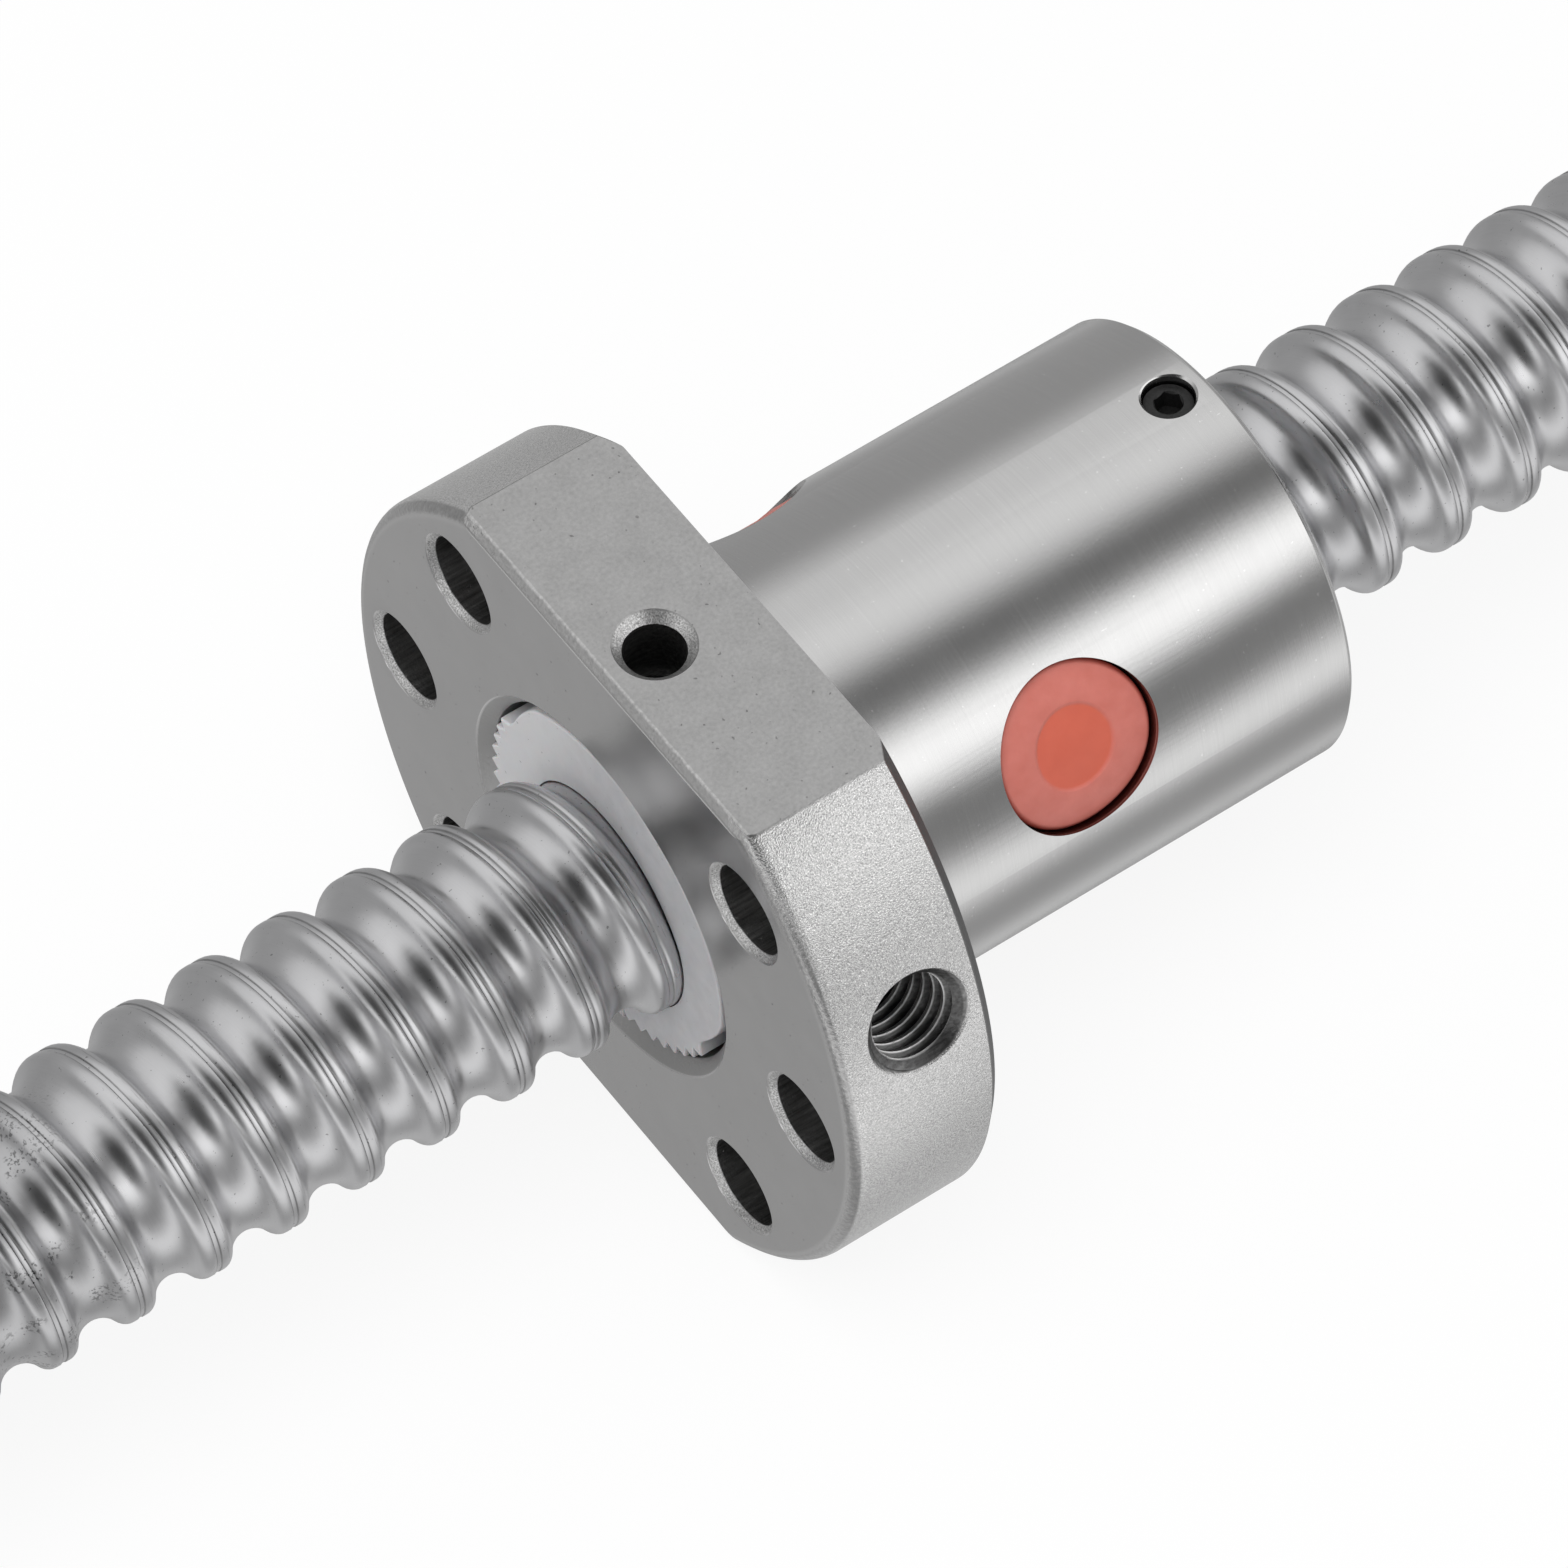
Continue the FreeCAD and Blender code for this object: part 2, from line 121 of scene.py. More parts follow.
class Graph:
    def __init__(self, tree):
        self.tree = tree

    def node(self, kind, settings=None, inputs=None, out=0):
        made = self.tree.nodes.new(kind)
        for key, value in (settings or {}).items():
            setattr(made, key, value)
        for key, value in (inputs or {}).items():
            target = made.inputs[key]
            if isinstance(value, Wire):
                self.tree.links.new(value.socket, target)
            else:
                target.default_value = value
        return Wire(self, made.outputs[out]) if made.outputs else made

    def mix(self, share, first, second):
        # colours, or numbers made into greys
        return self.node("ShaderNodeMix", {"data_type": "RGBA"}, {0: share, 6: first, 7: second}, 2)

    def blend(self, share, first, second):
        return self.node("ShaderNodeMix", {"data_type": "FLOAT"}, {0: share, 2: first, 3: second})

    def vector(self, x, y, z):
        return self.node("ShaderNodeCombineXYZ", {}, {0: x, 1: y, 2: z})

    def noise(self, vector, scale, detail=2.0, rough=0.5):
        return self.node("ShaderNodeTexNoise", {},
                         {"Vector": vector, "Scale": scale, "Detail": detail, "Roughness": rough})

    def millimetres(self):
        place = self.node("ShaderNodeTexCoord").pin("Object")
        return self.node("ShaderNodeVectorMath", {"operation": "SCALE"}, {0: place, "Scale": 1000.0})

    def parts(self, vector):
        split = self.node("ShaderNodeSeparateXYZ", {}, {0: vector})
        return split, split.pin("Y"), split.pin("Z")


def colour(r, g, b):
    return (r, g, b, 1.0)


def grey(value):
    return (value, value, value, 1.0)


# meshes

def meshObject(name, verts, faces):
    mesh = bpy.data.meshes.new(name)
    mesh.from_pydata([tuple(v) for v in verts], [], faces)
    made = bpy.data.objects.new(name, mesh)
    scene.collection.objects.link(made)
    return made


def tidied(piece):
    # doubles merged, then faces outwards
    shape = bmesh.new()
    shape.from_mesh(piece.data)
    bmesh.ops.remove_doubles(shape, verts=shape.verts, dist=weldDistance)
    bmesh.ops.recalc_face_normals(shape, faces=shape.faces)
    shape.to_mesh(piece.data)
    shape.free()
    return piece


def turned(name, outline, steps):
    # closed (x, radius) outline in mm, turned about the screw's axis
    size = len(outline)
    verts = [polar(x, r, 360 * i / steps) for i in range(steps) for x, r in outline]
    faces = []
    for i in range(steps):
        here, there = i * size, (i + 1) % steps * size
        for j in range(size):
            k = (j + 1) % size
            faces.append((here + j, here + k, there + k, there + j))
    return tidied(meshObject(name, verts, faces))


def axialPlace(x, radius, degrees):
    # local Z along +X
    turn = Matrix(((0, 0, 1), (1, 0, 0), (0, 1, 0))).to_4x4()
    return Matrix.Translation(polar(x, radius, degrees)) @ turn


def radialPlace(x, degrees):
    # local Z away from the axis, local X along the screw
    out = Vector((0, math.cos(math.radians(degrees)), math.sin(math.radians(degrees))))
    along = Vector((1, 0, 0))
    side = out.cross(along)
    turn = Matrix((along, side, out)).transposed().to_4x4()
    return Matrix.Translation((x * mm, 0, 0)) @ turn


def spun(name, outline, steps, place):
    # open (height, radius) outline in mm, closed by flat ends, spun about a place's local Z
    verts = []
    for height, r in outline:
        for i in range(steps):
            a = 2 * math.pi * i / steps
            verts.append(place @ Vector((r * math.cos(a) * mm, r * math.sin(a) * mm, height * mm)))
    faces = []
    for row in range(len(outline) - 1):
        for i in range(steps):
            j = (i + 1) % steps
            low, high = row * steps, (row + 1) * steps
            faces.append((low + i, low + j, high + j, high + i))
    faces.append(tuple(reversed(range(steps))))
    faces.append(tuple(range(len(verts) - steps, len(verts))))
    return tidied(meshObject(name, verts, faces))


def prism(name, corners, low, high, place):
    # flat (x, y) outline in mm carried from one local height to another
    verts = [place @ (Vector((x, y, h)) * mm) for h in (low, high) for x, y in corners]
    size = len(corners)
    faces = [tuple(reversed(range(size))), tuple(range(size, 2 * size))]
    for i in range(size):
        j = (i + 1) % size
        faces.append((i, j, size + j, size + i))
    return tidied(meshObject(name, verts, faces))


def settled(piece):
    # the evaluated shape becomes the piece's own mesh
    found = piece.evaluated_get(bpy.context.evaluated_depsgraph_get())
    mesh = bpy.data.meshes.new_from_object(found)
    piece.modifiers.clear()
    old = piece.data
    piece.data = mesh
    bpy.data.meshes.remove(old)
    mesh.name = piece.name
    return piece


def carved(piece, cutters):
    group = bpy.data.collections.new("cutters")
    for cutter in cutters:
        group.objects.link(cutter)
    cut = piece.modifiers.new("carve", "BOOLEAN")
    cut.operand_type = "COLLECTION"
    cut.collection = group
    cut.operation = "DIFFERENCE"
    cut.solver = "MANIFOLD"
    settled(piece)
    for cutter in cutters:
        bpy.data.objects.remove(cutter)
    bpy.data.collections.remove(group)
    return piece


def smoothed(piece, degrees):
    # edges sharper than this stay sharp
    piece.data.shade_smooth()
    piece.data.set_sharp_from_angle(angle=math.radians(degrees))
    return piece


def finishPiece(piece, body, slot, material, *nodes):
    piece.data.materials.clear()
    piece.data.materials.append(material)
    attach(piece, body)
    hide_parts(*nodes)
    print(piece.name, len(piece.data.polygons), "faces")


# helical surfaces: a profile of one pitch is carried round the axis by Geometry Nodes

def helixTree():
    tree = bpy.data.node_groups.new("helicalSkin", "GeometryNodeTree")
    face = tree.interface
    face.new_socket("Profile", in_out="INPUT", socket_type="NodeSocketGeometry")
    for name, kind, value in (("Points", "Int", 2), ("Steps", "Int", 10), ("Sides", "Float", 48.0),
                              ("First Step", "Float", 0.0), ("Pitch", "Float", 0.005),
                              ("Start", "Float", 0.0)):
        socket = face.new_socket(name, in_out="INPUT", socket_type="NodeSocket" + kind)
        socket.default_value = value
    face.new_socket("Skin", in_out="INPUT", socket_type="NodeSocketMaterial")
    face.new_socket("Geometry", in_out="OUTPUT", socket_type="NodeSocketGeometry")
    g = Graph(tree)
    given = g.node("NodeGroupInput")
    count = given.pin("Points")
    grid = g.node("GeometryNodeMeshGrid", {}, {"Vertices X": given.pin("Steps") + 1.0, "Vertices Y": count})
    index = g.node("GeometryNodeInputIndex")
    row = (index / count).maths("FLOOR")
    column = index - row * count
    spot = g.node("GeometryNodeInputPosition")
    held = g.node("GeometryNodeSampleIndex", {"data_type": "FLOAT_VECTOR"},
                  {"Geometry": given.pin("Profile"), "Value": spot, "Index": column})
    offset, radius, _ = g.parts(held)
    step = row + given.pin("First Step")
    turns = step / given.pin("Sides")
    angle = turns * (2 * math.pi)
    place = g.vector(offset + given.pin("Start") + turns * given.pin("Pitch"),
                     radius * angle.maths("COSINE"), radius * angle.maths("SINE"))
    moved = g.node("GeometryNodeSetPosition", {}, {"Geometry": grid, "Position": place})
    welded = g.node("GeometryNodeMergeByDistance", {}, {"Geometry": moved, "Distance": 1e-6})
    real = g.node("GeometryNodeRealizeInstances", {}, {"Geometry": welded})
    clad = g.node("GeometryNodeSetMaterial", {}, {"Geometry": real, "Material": given.pin("Skin")})
    g.node("NodeGroupOutput", {}, {0: clad})
    return tree


def nodeInput(modifier, name, value):
    for item in modifier.node_group.interface.items_tree:
        if item.item_type == "SOCKET" and item.in_out == "INPUT" and item.name == name:
            modifier[item.identifier] = value


def threadedRod(name, profile, pitch, start, low, high, sides):
    # profile: (offset, radius) in mm over one pitch; the rod runs from x = low to x = high
    points = [(x * mm, r * mm, 0) for x, r in profile]
    rod = meshObject(name, points, [])
    rod.data.edges.add(0)
    first = math.floor((low - start - 2 * pitch) / pitch * sides)
    last = math.ceil((high - start + 2 * pitch) / pitch * sides)
    skin = rod.modifiers.new("skin", "NODES")
    skin.node_group = helicalSkin
    for key, value in (("Points", len(profile)), ("Steps", last - first), ("Sides", float(sides)),
                       ("First Step", float(first)), ("Pitch", pitch * mm), ("Start", start * mm),
                       ("Skin", scratch)):
        nodeInput(skin, key, value)
    settled(rod)
    shape = bmesh.new()
    shape.from_mesh(rod.data)
    for x, out in ((low, -1), (high, 1)):
        everything = shape.verts[:] + shape.edges[:] + shape.faces[:]
        bmesh.ops.bisect_plane(shape, geom=everything, dist=1e-9, plane_co=(x * mm, 0, 0),
                               plane_no=(out, 0, 0), clear_outer=True)
    rims = [e for e in shape.edges if e.is_boundary]
    bmesh.ops.holes_fill(shape, edges=rims, sides=0)
    bmesh.ops.recalc_face_normals(shape, faces=shape.faces)
    shape.to_mesh(rod.data)
    shape.free()
    return rod


def arcPoints(centreX, centreR, radius, start, end, count):
    # start and end in degrees from +x towards +r
    points = []
    for i in range(count + 1):
        a = math.radians(start + (end - start) * i / count)
        points.append((centreX + radius * math.cos(a), centreR + radius * math.sin(a)))
    return points


def screwProfile(clearance=0.0):
    # half a pitch from the middle of the groove to the middle of the crest, then mirrored
    bend = screw["shoulderRadius"] + clearance
    groove = screw["grooveRadius"] - clearance
    crest = thread["screwRadius"] + clearance
    reach = math.sqrt((groove + bend) ** 2 - (thread["ballCircle"] - crest + bend) ** 2)
    lean = math.degrees(math.atan2(thread["ballCircle"] - crest + bend, reach))
    half = arcPoints(0, thread["ballCircle"], groove, -90, -lean, screw["grooveChords"])
    half += arcPoints(reach, crest - bend, bend, 180 - lean, 90, screw["shoulderChords"])[1:]
    middle = thread["pitch"] / 2
    if clearance == 0:
        half += [(middle - screw["seamWide"], crest),
                 (middle - screw["seamWall"], crest - screw["seamDeep"]),
                 (middle, crest - screw["seamFloor"])]
    else:
        half.append((middle, crest))
    return [(-x, r) for x, r in reversed(half[1:])] + half


def nutProfile(bore, chords):
    half = math.degrees(math.acos((bore - thread["ballCircle"]) / thread["grooveRadius"]))
    arc = arcPoints(0, thread["ballCircle"], thread["grooveRadius"], 90 + half, 90 - half, chords)
    middle = thread["pitch"] / 2
    return [(-middle, bore)] + arc + [(middle, bore)]


# the balls' way: along the groove, and over one crest under the return cap

def circuitAngle(circuit):
    return thread["crestAngle"] + 360 * thread["turnsApart"] * (circuit - 2)


def capAngle(circuit):
    # the caps sit a little further round than the crests they cross
    return circuitAngle(circuit) + cap["turn"]


def capX(circuit):
    return thread["crestX"] + thread["pitch"] * thread["turnsApart"] * (circuit - 2)


def trackPoint(circuit, turn):
    # across eases over one pitch in an S, and lift rises to its top half way
    u = max(-1.0, min(1.0, turn / thread["returnHalfAngle"]))
    across = 1.5 * u - 0.5 * u ** 3
    lift = thread["returnLift"] * (1 - u * u) ** 2
    x = capX(circuit) + thread["pitch"] * (turn / 360 - across / 2)
    return polar(x, thread["ballCircle"] + lift, circuitAngle(circuit) + turn)


channel = {"reach": 38.0, "steps": 38, "arcSteps": 16, "aheadBy": 0.5}


def returnChannel(circuit):
    reach, count, arc, near = channel["reach"], channel["steps"], channel["arcSteps"], channel["aheadBy"]
    radius = thread["grooveRadius"] * mm
    verts = []
    for i in range(count + 1):
        turn = reach * (2 * i / count - 1)
        here = trackPoint(circuit, turn)
        ahead = trackPoint(circuit, turn + near) - trackPoint(circuit, turn - near)
        out = Vector((0, here.y, here.z)).normalized()
        side = ahead.cross(out).normalized()
        low = out * (thread["ballRadius"] * mm)
        verts += [here - side * radius - low, here + side * radius - low]
        for j in range(arc + 1):
            a = math.pi * j / arc
            verts.append(here + side * (radius * math.cos(a)) + out * (radius * math.sin(a)))
    size = arc + 3
    faces = [tuple(range(size)), tuple(reversed(range(count * size, (count + 1) * size)))]
    for i in range(count):
        for j in range(size):
            k = (j + 1) % size
            faces.append((i * size + j, i * size + k, (i + 1) * size + k, (i + 1) * size + j))
    return tidied(meshObject("channel", verts, faces))


# materials

def newMaterial(name):
    made = bpy.data.materials.new(name)
    made.use_nodes = True
    made.node_tree.nodes.clear()
    return made, Graph(made.node_tree)


def surface(g, **inputs):
    # a Principled surface whose inputs are given by name, spaces left out
    names = {"BaseColor": "Base Color", "SubsurfaceWeight": "Subsurface Weight",
             "SubsurfaceScale": "Subsurface Scale"}
    shader = g.node("ShaderNodeBsdfPrincipled", {}, {names.get(k, k): v for k, v in inputs.items()})
    g.node("ShaderNodeOutputMaterial", {}, {"Surface": shader})


def bump(g, height, strength, distance):
    return g.node("ShaderNodeBump", {}, {"Height": height, "Strength": strength, "Distance": distance * mm})


nutFinish = {
    # how bright each zone is; the hole tone and the flange's back chamfer are painted shade, the port is
    # painted darker as shade, and the line on the flat's front edge and the port's thread crests are
    # painted highlights
    "barrel": 0.60, "face": 0.60, "flat": 0.44, "rim": 0.78, "round": 0.46, "hole": 0.30, "chamfer": 0.62,
    "shadedBackEdge": 0.12, "seatEdge": 0.45, "flatEdge": 0.44, "highlightLine": 0.12,
    "portCrestHighlight": 0.78, "portShade": 0.45,
    # and how rough
    "barrelRough": 0.17, "faceRough": 0.20, "flatRough": 0.40, "rimRough": 0.24, "holeRough": 0.40,
    # how fine the patterns are, per mm
    "cloudScale": 0.45, "pitScale": 3.0, "gritScale": 4.0, "speckScale": 4.5, "fineScale": 7.0,
    "sparkleScale": 11.0, "turningScale": 22.0, "boringScale": 5.0,
    "bumpStrength": 0.5, "bumpDistance": 0.06,
}


def nutZones(g, x, y, z, radius):
    # masks that follow the nut's own sizes, each a little inside the edge where its zone ends
    front, flat = -nut["thickness"], nut["flatHeight"]
    rim, barrel = nut["flangeRadius"], nut["barrelRadius"]
    height = z.maths("ABSOLUTE")
    zone = {}
    zone["barrel"] = x.above(0.03, 0.02) * radius.above(barrel - 0.2, 0.05)
    zone["face"] = x.below(front + 0.07, 0.05)
    zone["flat"] = height.above(flat - 0.07, 0.05)
    offFace, offFlat = 1.0 - zone["face"], 1.0 - zone["flat"]
    zone["rim"] = radius.above(rim - 0.12, 0.05) * offFlat * offFace
    zone["round"] = radius.above(rim - 1.1, 0.1) * x.below(front + 1.05, 0.08) * offFace * offFlat
    zone["back"] = x.above(-0.05, 0.04) * (1.0 - zone["barrel"]) * radius.above(barrel - 1.0, 0.3)
    zone["chamfer"] = (x.below(front + 0.42, 0.03) + height.above(flat - 0.62, 0.05)).clamped()
    # painted shade: the flange's back chamfer is painted almost black
    zone["shadedBackEdge"] = x.above(-0.72, 0.05) * x.below(-0.03, 0.03) * radius.above(rim - 0.8, 0.1) * offFlat
    zone["seatEdge"] = x.below(front + 0.9, 0.05) * radius.below(nut["frontSeat"] + 0.9, 0.05)
    zone["flatEdge"] = x.below(front + 0.55, 0.04) * height.above(flat - 0.62, 0.05)
    # painted highlight: a thin bright line along the flat's front edge
    zone["highlightLine"] = x.above(front + 0.42, 0.04) * x.below(front + 0.58, 0.04) * z.above(flat - 0.2, 0.03)
    port = math.radians(nut["portAngle"])
    across = y * math.sin(port) - z * math.cos(port)
    along = x - nut["portX"]
    fromPort = (along * along + across * across).maths("SQRT")
    portSide = radius.above(barrel + 1.5, 0.2) * y.below(0.0, 0.1)
    zone["port"] = fromPort.below(nut["portMajor"] + 0.05, 0.05) * portSide
    # painted highlight: the port's thread crests, painted bright against the port's painted shade
    zone["portCrestHighlight"] = fromPort.below(nut["portMinor"] + 0.06, 0.05) * portSide
    return zone


def nutSteel():
    made, g = newMaterial("groundSteel")
    place = g.millimetres()
    x, y, z = g.parts(place)
    radius = (y * y + z * z).maths("SQRT")
    angle = z.maths("ARCTAN2", y)
    on = nutZones(g, x, y, z, radius)
    fine = g.noise(place, nutFinish["fineScale"], 3.0, 0.6)
    grit = g.noise(place, nutFinish["gritScale"], 2.0, 0.5)
    cloud = g.noise(place, nutFinish["cloudScale"], 3.0, 0.55)
    pits = g.noise(place, nutFinish["pitScale"], 1.0, 0.5).below(0.25, 0.02)
    specks = g.noise(place, nutFinish["speckScale"], 1.0, 0.5).above(0.76, 0.015)
    sparkle = g.noise(place, nutFinish["sparkleScale"], 2.0, 0.55)
    turning = g.noise(g.vector(x * nutFinish["turningScale"], angle * 1.6, 0.0), 1.0, 4.0, 0.65)
    bored = nutFinish["boringScale"]
    streaks = g.noise(g.vector(x * 0.4, y * bored, z * bored), 1.0, 3.0, 0.6)

    # the hole tone under everything else is a painted shade: the bore, the race and the holes are painted
    # darker as if in shadow; the bored streaks in it are the steel's own
    base = g.blend(on["chamfer"], nutFinish["hole"] + streaks.spread(0.6),
                   nutFinish["chamfer"] + sparkle.spread(1.5))
    base = base * (1.0 - on["port"] * nutFinish["portShade"])
    # painted highlight on the port's thread crests
    base = g.blend(on["portCrestHighlight"], base, nutFinish["portCrestHighlight"])
    base = g.blend(on["seatEdge"], base, nutFinish["seatEdge"])
    base = g.blend(on["flatEdge"], base, nutFinish["flatEdge"] + grit.spread(0.2))
    base = g.blend(on["barrel"], base, nutFinish["barrel"] + turning.spread(0.12) + specks * 0.12)
    base = g.blend(on["face"], base, nutFinish["face"] + cloud.spread(0.06) - pits * 0.2)
    base = g.blend(on["back"], base, nutFinish["face"])
    base = g.blend(on["flat"], base,
                   nutFinish["flat"] + cloud.spread(0.12) + grit.spread(0.22) - pits * 0.16)
    base = g.blend(on["round"], base, nutFinish["round"] + grit.spread(0.3))
    base = g.blend(on["rim"], base, nutFinish["rim"] + sparkle.spread(0.9))
    # painted shade on the flange's back chamfer
    base = g.blend(on["shadedBackEdge"], base, nutFinish["shadedBackEdge"])
    # the painted highlight line is added on top
    base = base + on["highlightLine"] * (nutFinish["highlightLine"] + grit.spread(0.4))

    rough = g.blend(on["barrel"], nutFinish["holeRough"],
                    nutFinish["barrelRough"] + turning.spread(0.10) + cloud.spread(0.08))
    rough = g.blend(on["face"], rough, nutFinish["faceRough"] + cloud.spread(0.06))
    rough = g.blend(on["back"], rough, nutFinish["faceRough"])
    rough = g.blend(on["flat"], rough, nutFinish["flatRough"] + grit.spread(0.15))
    rough = g.blend(on["round"], rough, nutFinish["faceRough"])
    rough = g.blend(on["rim"], rough, nutFinish["rimRough"])

    coarse = g.blend(on["rim"], fine * 0.6 + grit * 0.8 - pits * 0.6, sparkle * 1.5 + grit * 0.5)
    height = g.blend((on["barrel"] + on["face"]).clamped(), coarse, turning * 0.14 + grit * 0.06)
    tone = g.mix(base.clamped(), grey(0.0), colour(1.0, 0.995, 0.99))
    surface(g, BaseColor=tone, Metallic=1.0, Roughness=rough.clamped(),
            Normal=bump(g, height, nutFinish["bumpStrength"], nutFinish["bumpDistance"]))
    return made


screwFinish = {
    "base": 0.63, "rough": 0.31, "bumpStrength": 0.30, "bumpDistance": 0.05,
    "cloudScale": 0.35, "patchScale": 0.7, "pitScale": 4.0,
    # the fine double seam that rolling leaves on the crest, and a broken line beside it
    "seamApart": 0.15, "seamHalf": 0.035, "seamDark": 0.42, "strayAt": 0.62, "strayHalf": 0.03,
    # the far end is worn
    "wornFrom": -46.0, "wornScale": 5.0, "wornPatches": 0.45, "wornPits": 0.32, "wornTone": 0.08,
}


def screwSteel():
    made, g = newMaterial("rolledSteel")
    place = g.millimetres()
    x, y, z = g.parts(place)
    radius = (y * y + z * z).maths("SQRT")
    angle = z.maths("ARCTAN2", y)
    turn = (x - grooveStart) / thread["pitch"] - angle / (2 * math.pi)
    fromCrest = ((turn - 0.5) - (turn - 0.5).maths("ROUND")) * thread["pitch"]
    cloud = g.noise(place, screwFinish["cloudScale"], 3.0, 0.55)
    patch = g.noise(place, screwFinish["patchScale"], 2.0, 0.5)
    wander = g.noise(g.vector(turn.maths("ROUND"), angle * 3.0, 0.0), 1.0, 3.0, 0.6)
    streak = g.noise(g.vector(turn * 60.0, angle * 2.0, 0.0), 1.0, 4.0, 0.6)
    pits = g.noise(place, screwFinish["pitScale"], 2.0, 0.5).above(0.72, 0.02)

    fromSeam = (fromCrest.maths("ABSOLUTE") - screwFinish["seamApart"]).maths("ABSOLUTE")
    seam = fromSeam.below(screwFinish["seamHalf"], 0.02) * (0.7 + wander.spread(1.2))
    fromStray = (fromCrest - screwFinish["strayAt"] + wander.spread(0.3)).maths("ABSOLUTE")
    stray = fromStray.below(screwFinish["strayHalf"], 0.03) * wander.above(0.5, 0.08) * 0.4
    onCrest = radius.above(thread["screwRadius"] - 0.15, 0.05)
    marks = ((seam + stray) * onCrest).clamped()
    worn = g.noise(place, screwFinish["wornScale"], 2.0, 0.5).above(0.57, 0.04)
    worn = worn * g.noise(place, screwFinish["wornPatches"], 2.0, 0.5).above(0.56, 0.05)

    base = screwFinish["base"] + cloud.spread(0.14) + streak.spread(0.08) - pits * 0.3
    base = base - marks * screwFinish["seamDark"]
    wear = worn * screwFinish["wornPits"] + screwFinish["wornTone"]
    base = base - wear * x.below(screwFinish["wornFrom"], 3.0)
    rough = screwFinish["rough"] + patch.spread(0.16) + streak.spread(0.06)
    height = patch + streak * 0.03 - pits * 0.05
    tone = g.mix(base.clamped(), grey(0.0), colour(0.985, 0.985, 1.0))
    surface(g, BaseColor=tone, Metallic=1.0, Roughness=rough.clamped(),
            Normal=bump(g, height, screwFinish["bumpStrength"], screwFinish["bumpDistance"]))
    return made


ballFinish = {"hazeScale": 1.2, "low": 0.66, "high": 0.74, "rough": 0.07, "roughSpread": 0.06}


def ballSteel():
    made, g = newMaterial("polishedBalls")
    haze = g.noise(g.millimetres(), ballFinish["hazeScale"], 2.0, 0.5)
    surface(g, BaseColor=g.mix(haze, grey(ballFinish["low"]), grey(ballFinish["high"])), Metallic=1.0,
            Roughness=ballFinish["rough"] + haze * ballFinish["roughSpread"])
    return made


blackFinish = {
    "grainScale": 7.0, "low": 0.012, "high": 0.05, "metallic": 0.7, "rough": 0.28, "roughSpread": 0.2,
    "bumpStrength": 0.25, "bumpDistance": 0.05,
}


def blackSteel():
    made, g = newMaterial("blackOxide")
    grain = g.noise(g.millimetres(), blackFinish["grainScale"], 3.0, 0.6)
    surface(g, BaseColor=g.mix(grain, grey(blackFinish["low"]), grey(blackFinish["high"])),
            Metallic=blackFinish["metallic"],
            Roughness=blackFinish["rough"] + grain * blackFinish["roughSpread"],
            Normal=bump(g, grain, blackFinish["bumpStrength"], blackFinish["bumpDistance"]))
    return made


whiteFinish = {
    # lit is painted light, the paler tone of the side towards +Y
    "low": colour(0.42, 0.42, 0.435), "high": colour(0.58, 0.58, 0.595), "lit": colour(0.80, 0.80, 0.81),
    "speck": grey(0.16), "litShare": 0.6, "speckShare": 0.6,
    "hazeScale": 0.8, "grainScale": 6.0, "speckScale": 2.6, "rough": 0.42, "roughSpread": 0.16,
    "bumpStrength": 0.25, "bumpDistance": 0.05, "glow": 0.15, "glowDepth": 0.0008,
}


def whitePlastic():
    made, g = newMaterial("whitePlastic")
    place = g.millimetres()
    haze = g.noise(place, whiteFinish["hazeScale"], 3.0, 0.55)
    grain = g.noise(place, whiteFinish["grainScale"], 3.0, 0.6)
    specks = g.noise(place, whiteFinish["speckScale"], 2.0, 0.5).above(0.735, 0.012)
    # painted light: the side towards +Y is painted paler, as if lit from there
    lit = g.parts(place)[1].above(3.0, 5.0) * whiteFinish["litShare"]
    tone = g.mix(haze, whiteFinish["low"], whiteFinish["high"])
    tone = g.mix(lit, tone, whiteFinish["lit"])
    tone = g.mix(specks * whiteFinish["speckShare"], tone, whiteFinish["speck"])
    surface(g, BaseColor=tone, Roughness=whiteFinish["rough"] + grain * whiteFinish["roughSpread"],
            Normal=bump(g, grain, whiteFinish["bumpStrength"], whiteFinish["bumpDistance"]),
            SubsurfaceWeight=whiteFinish["glow"], SubsurfaceScale=whiteFinish["glowDepth"])
    return made


redFinish = {
    "ringLow": colour(0.50, 0.125, 0.092), "ringHigh": colour(0.62, 0.195, 0.16),
    "dishLow": colour(0.56, 0.105, 0.06), "dishHigh": colour(0.62, 0.125, 0.075),
    # the edge colour and its inset mark a painted shade: the cap's rounded rim is painted dark red-brown
    # where its side wall lies in shade
    "edge": colour(0.30, 0.04, 0.025), "dishInset": 0.05, "shadeInset": 0.22,
    "cloudScale": 0.9, "grainScale": 5.0, "rough": 0.40, "roughSpread": 0.12,
    "bumpStrength": 0.18, "bumpDistance": 0.05, "glow": 0.12, "glowDepth": 0.0006,
}


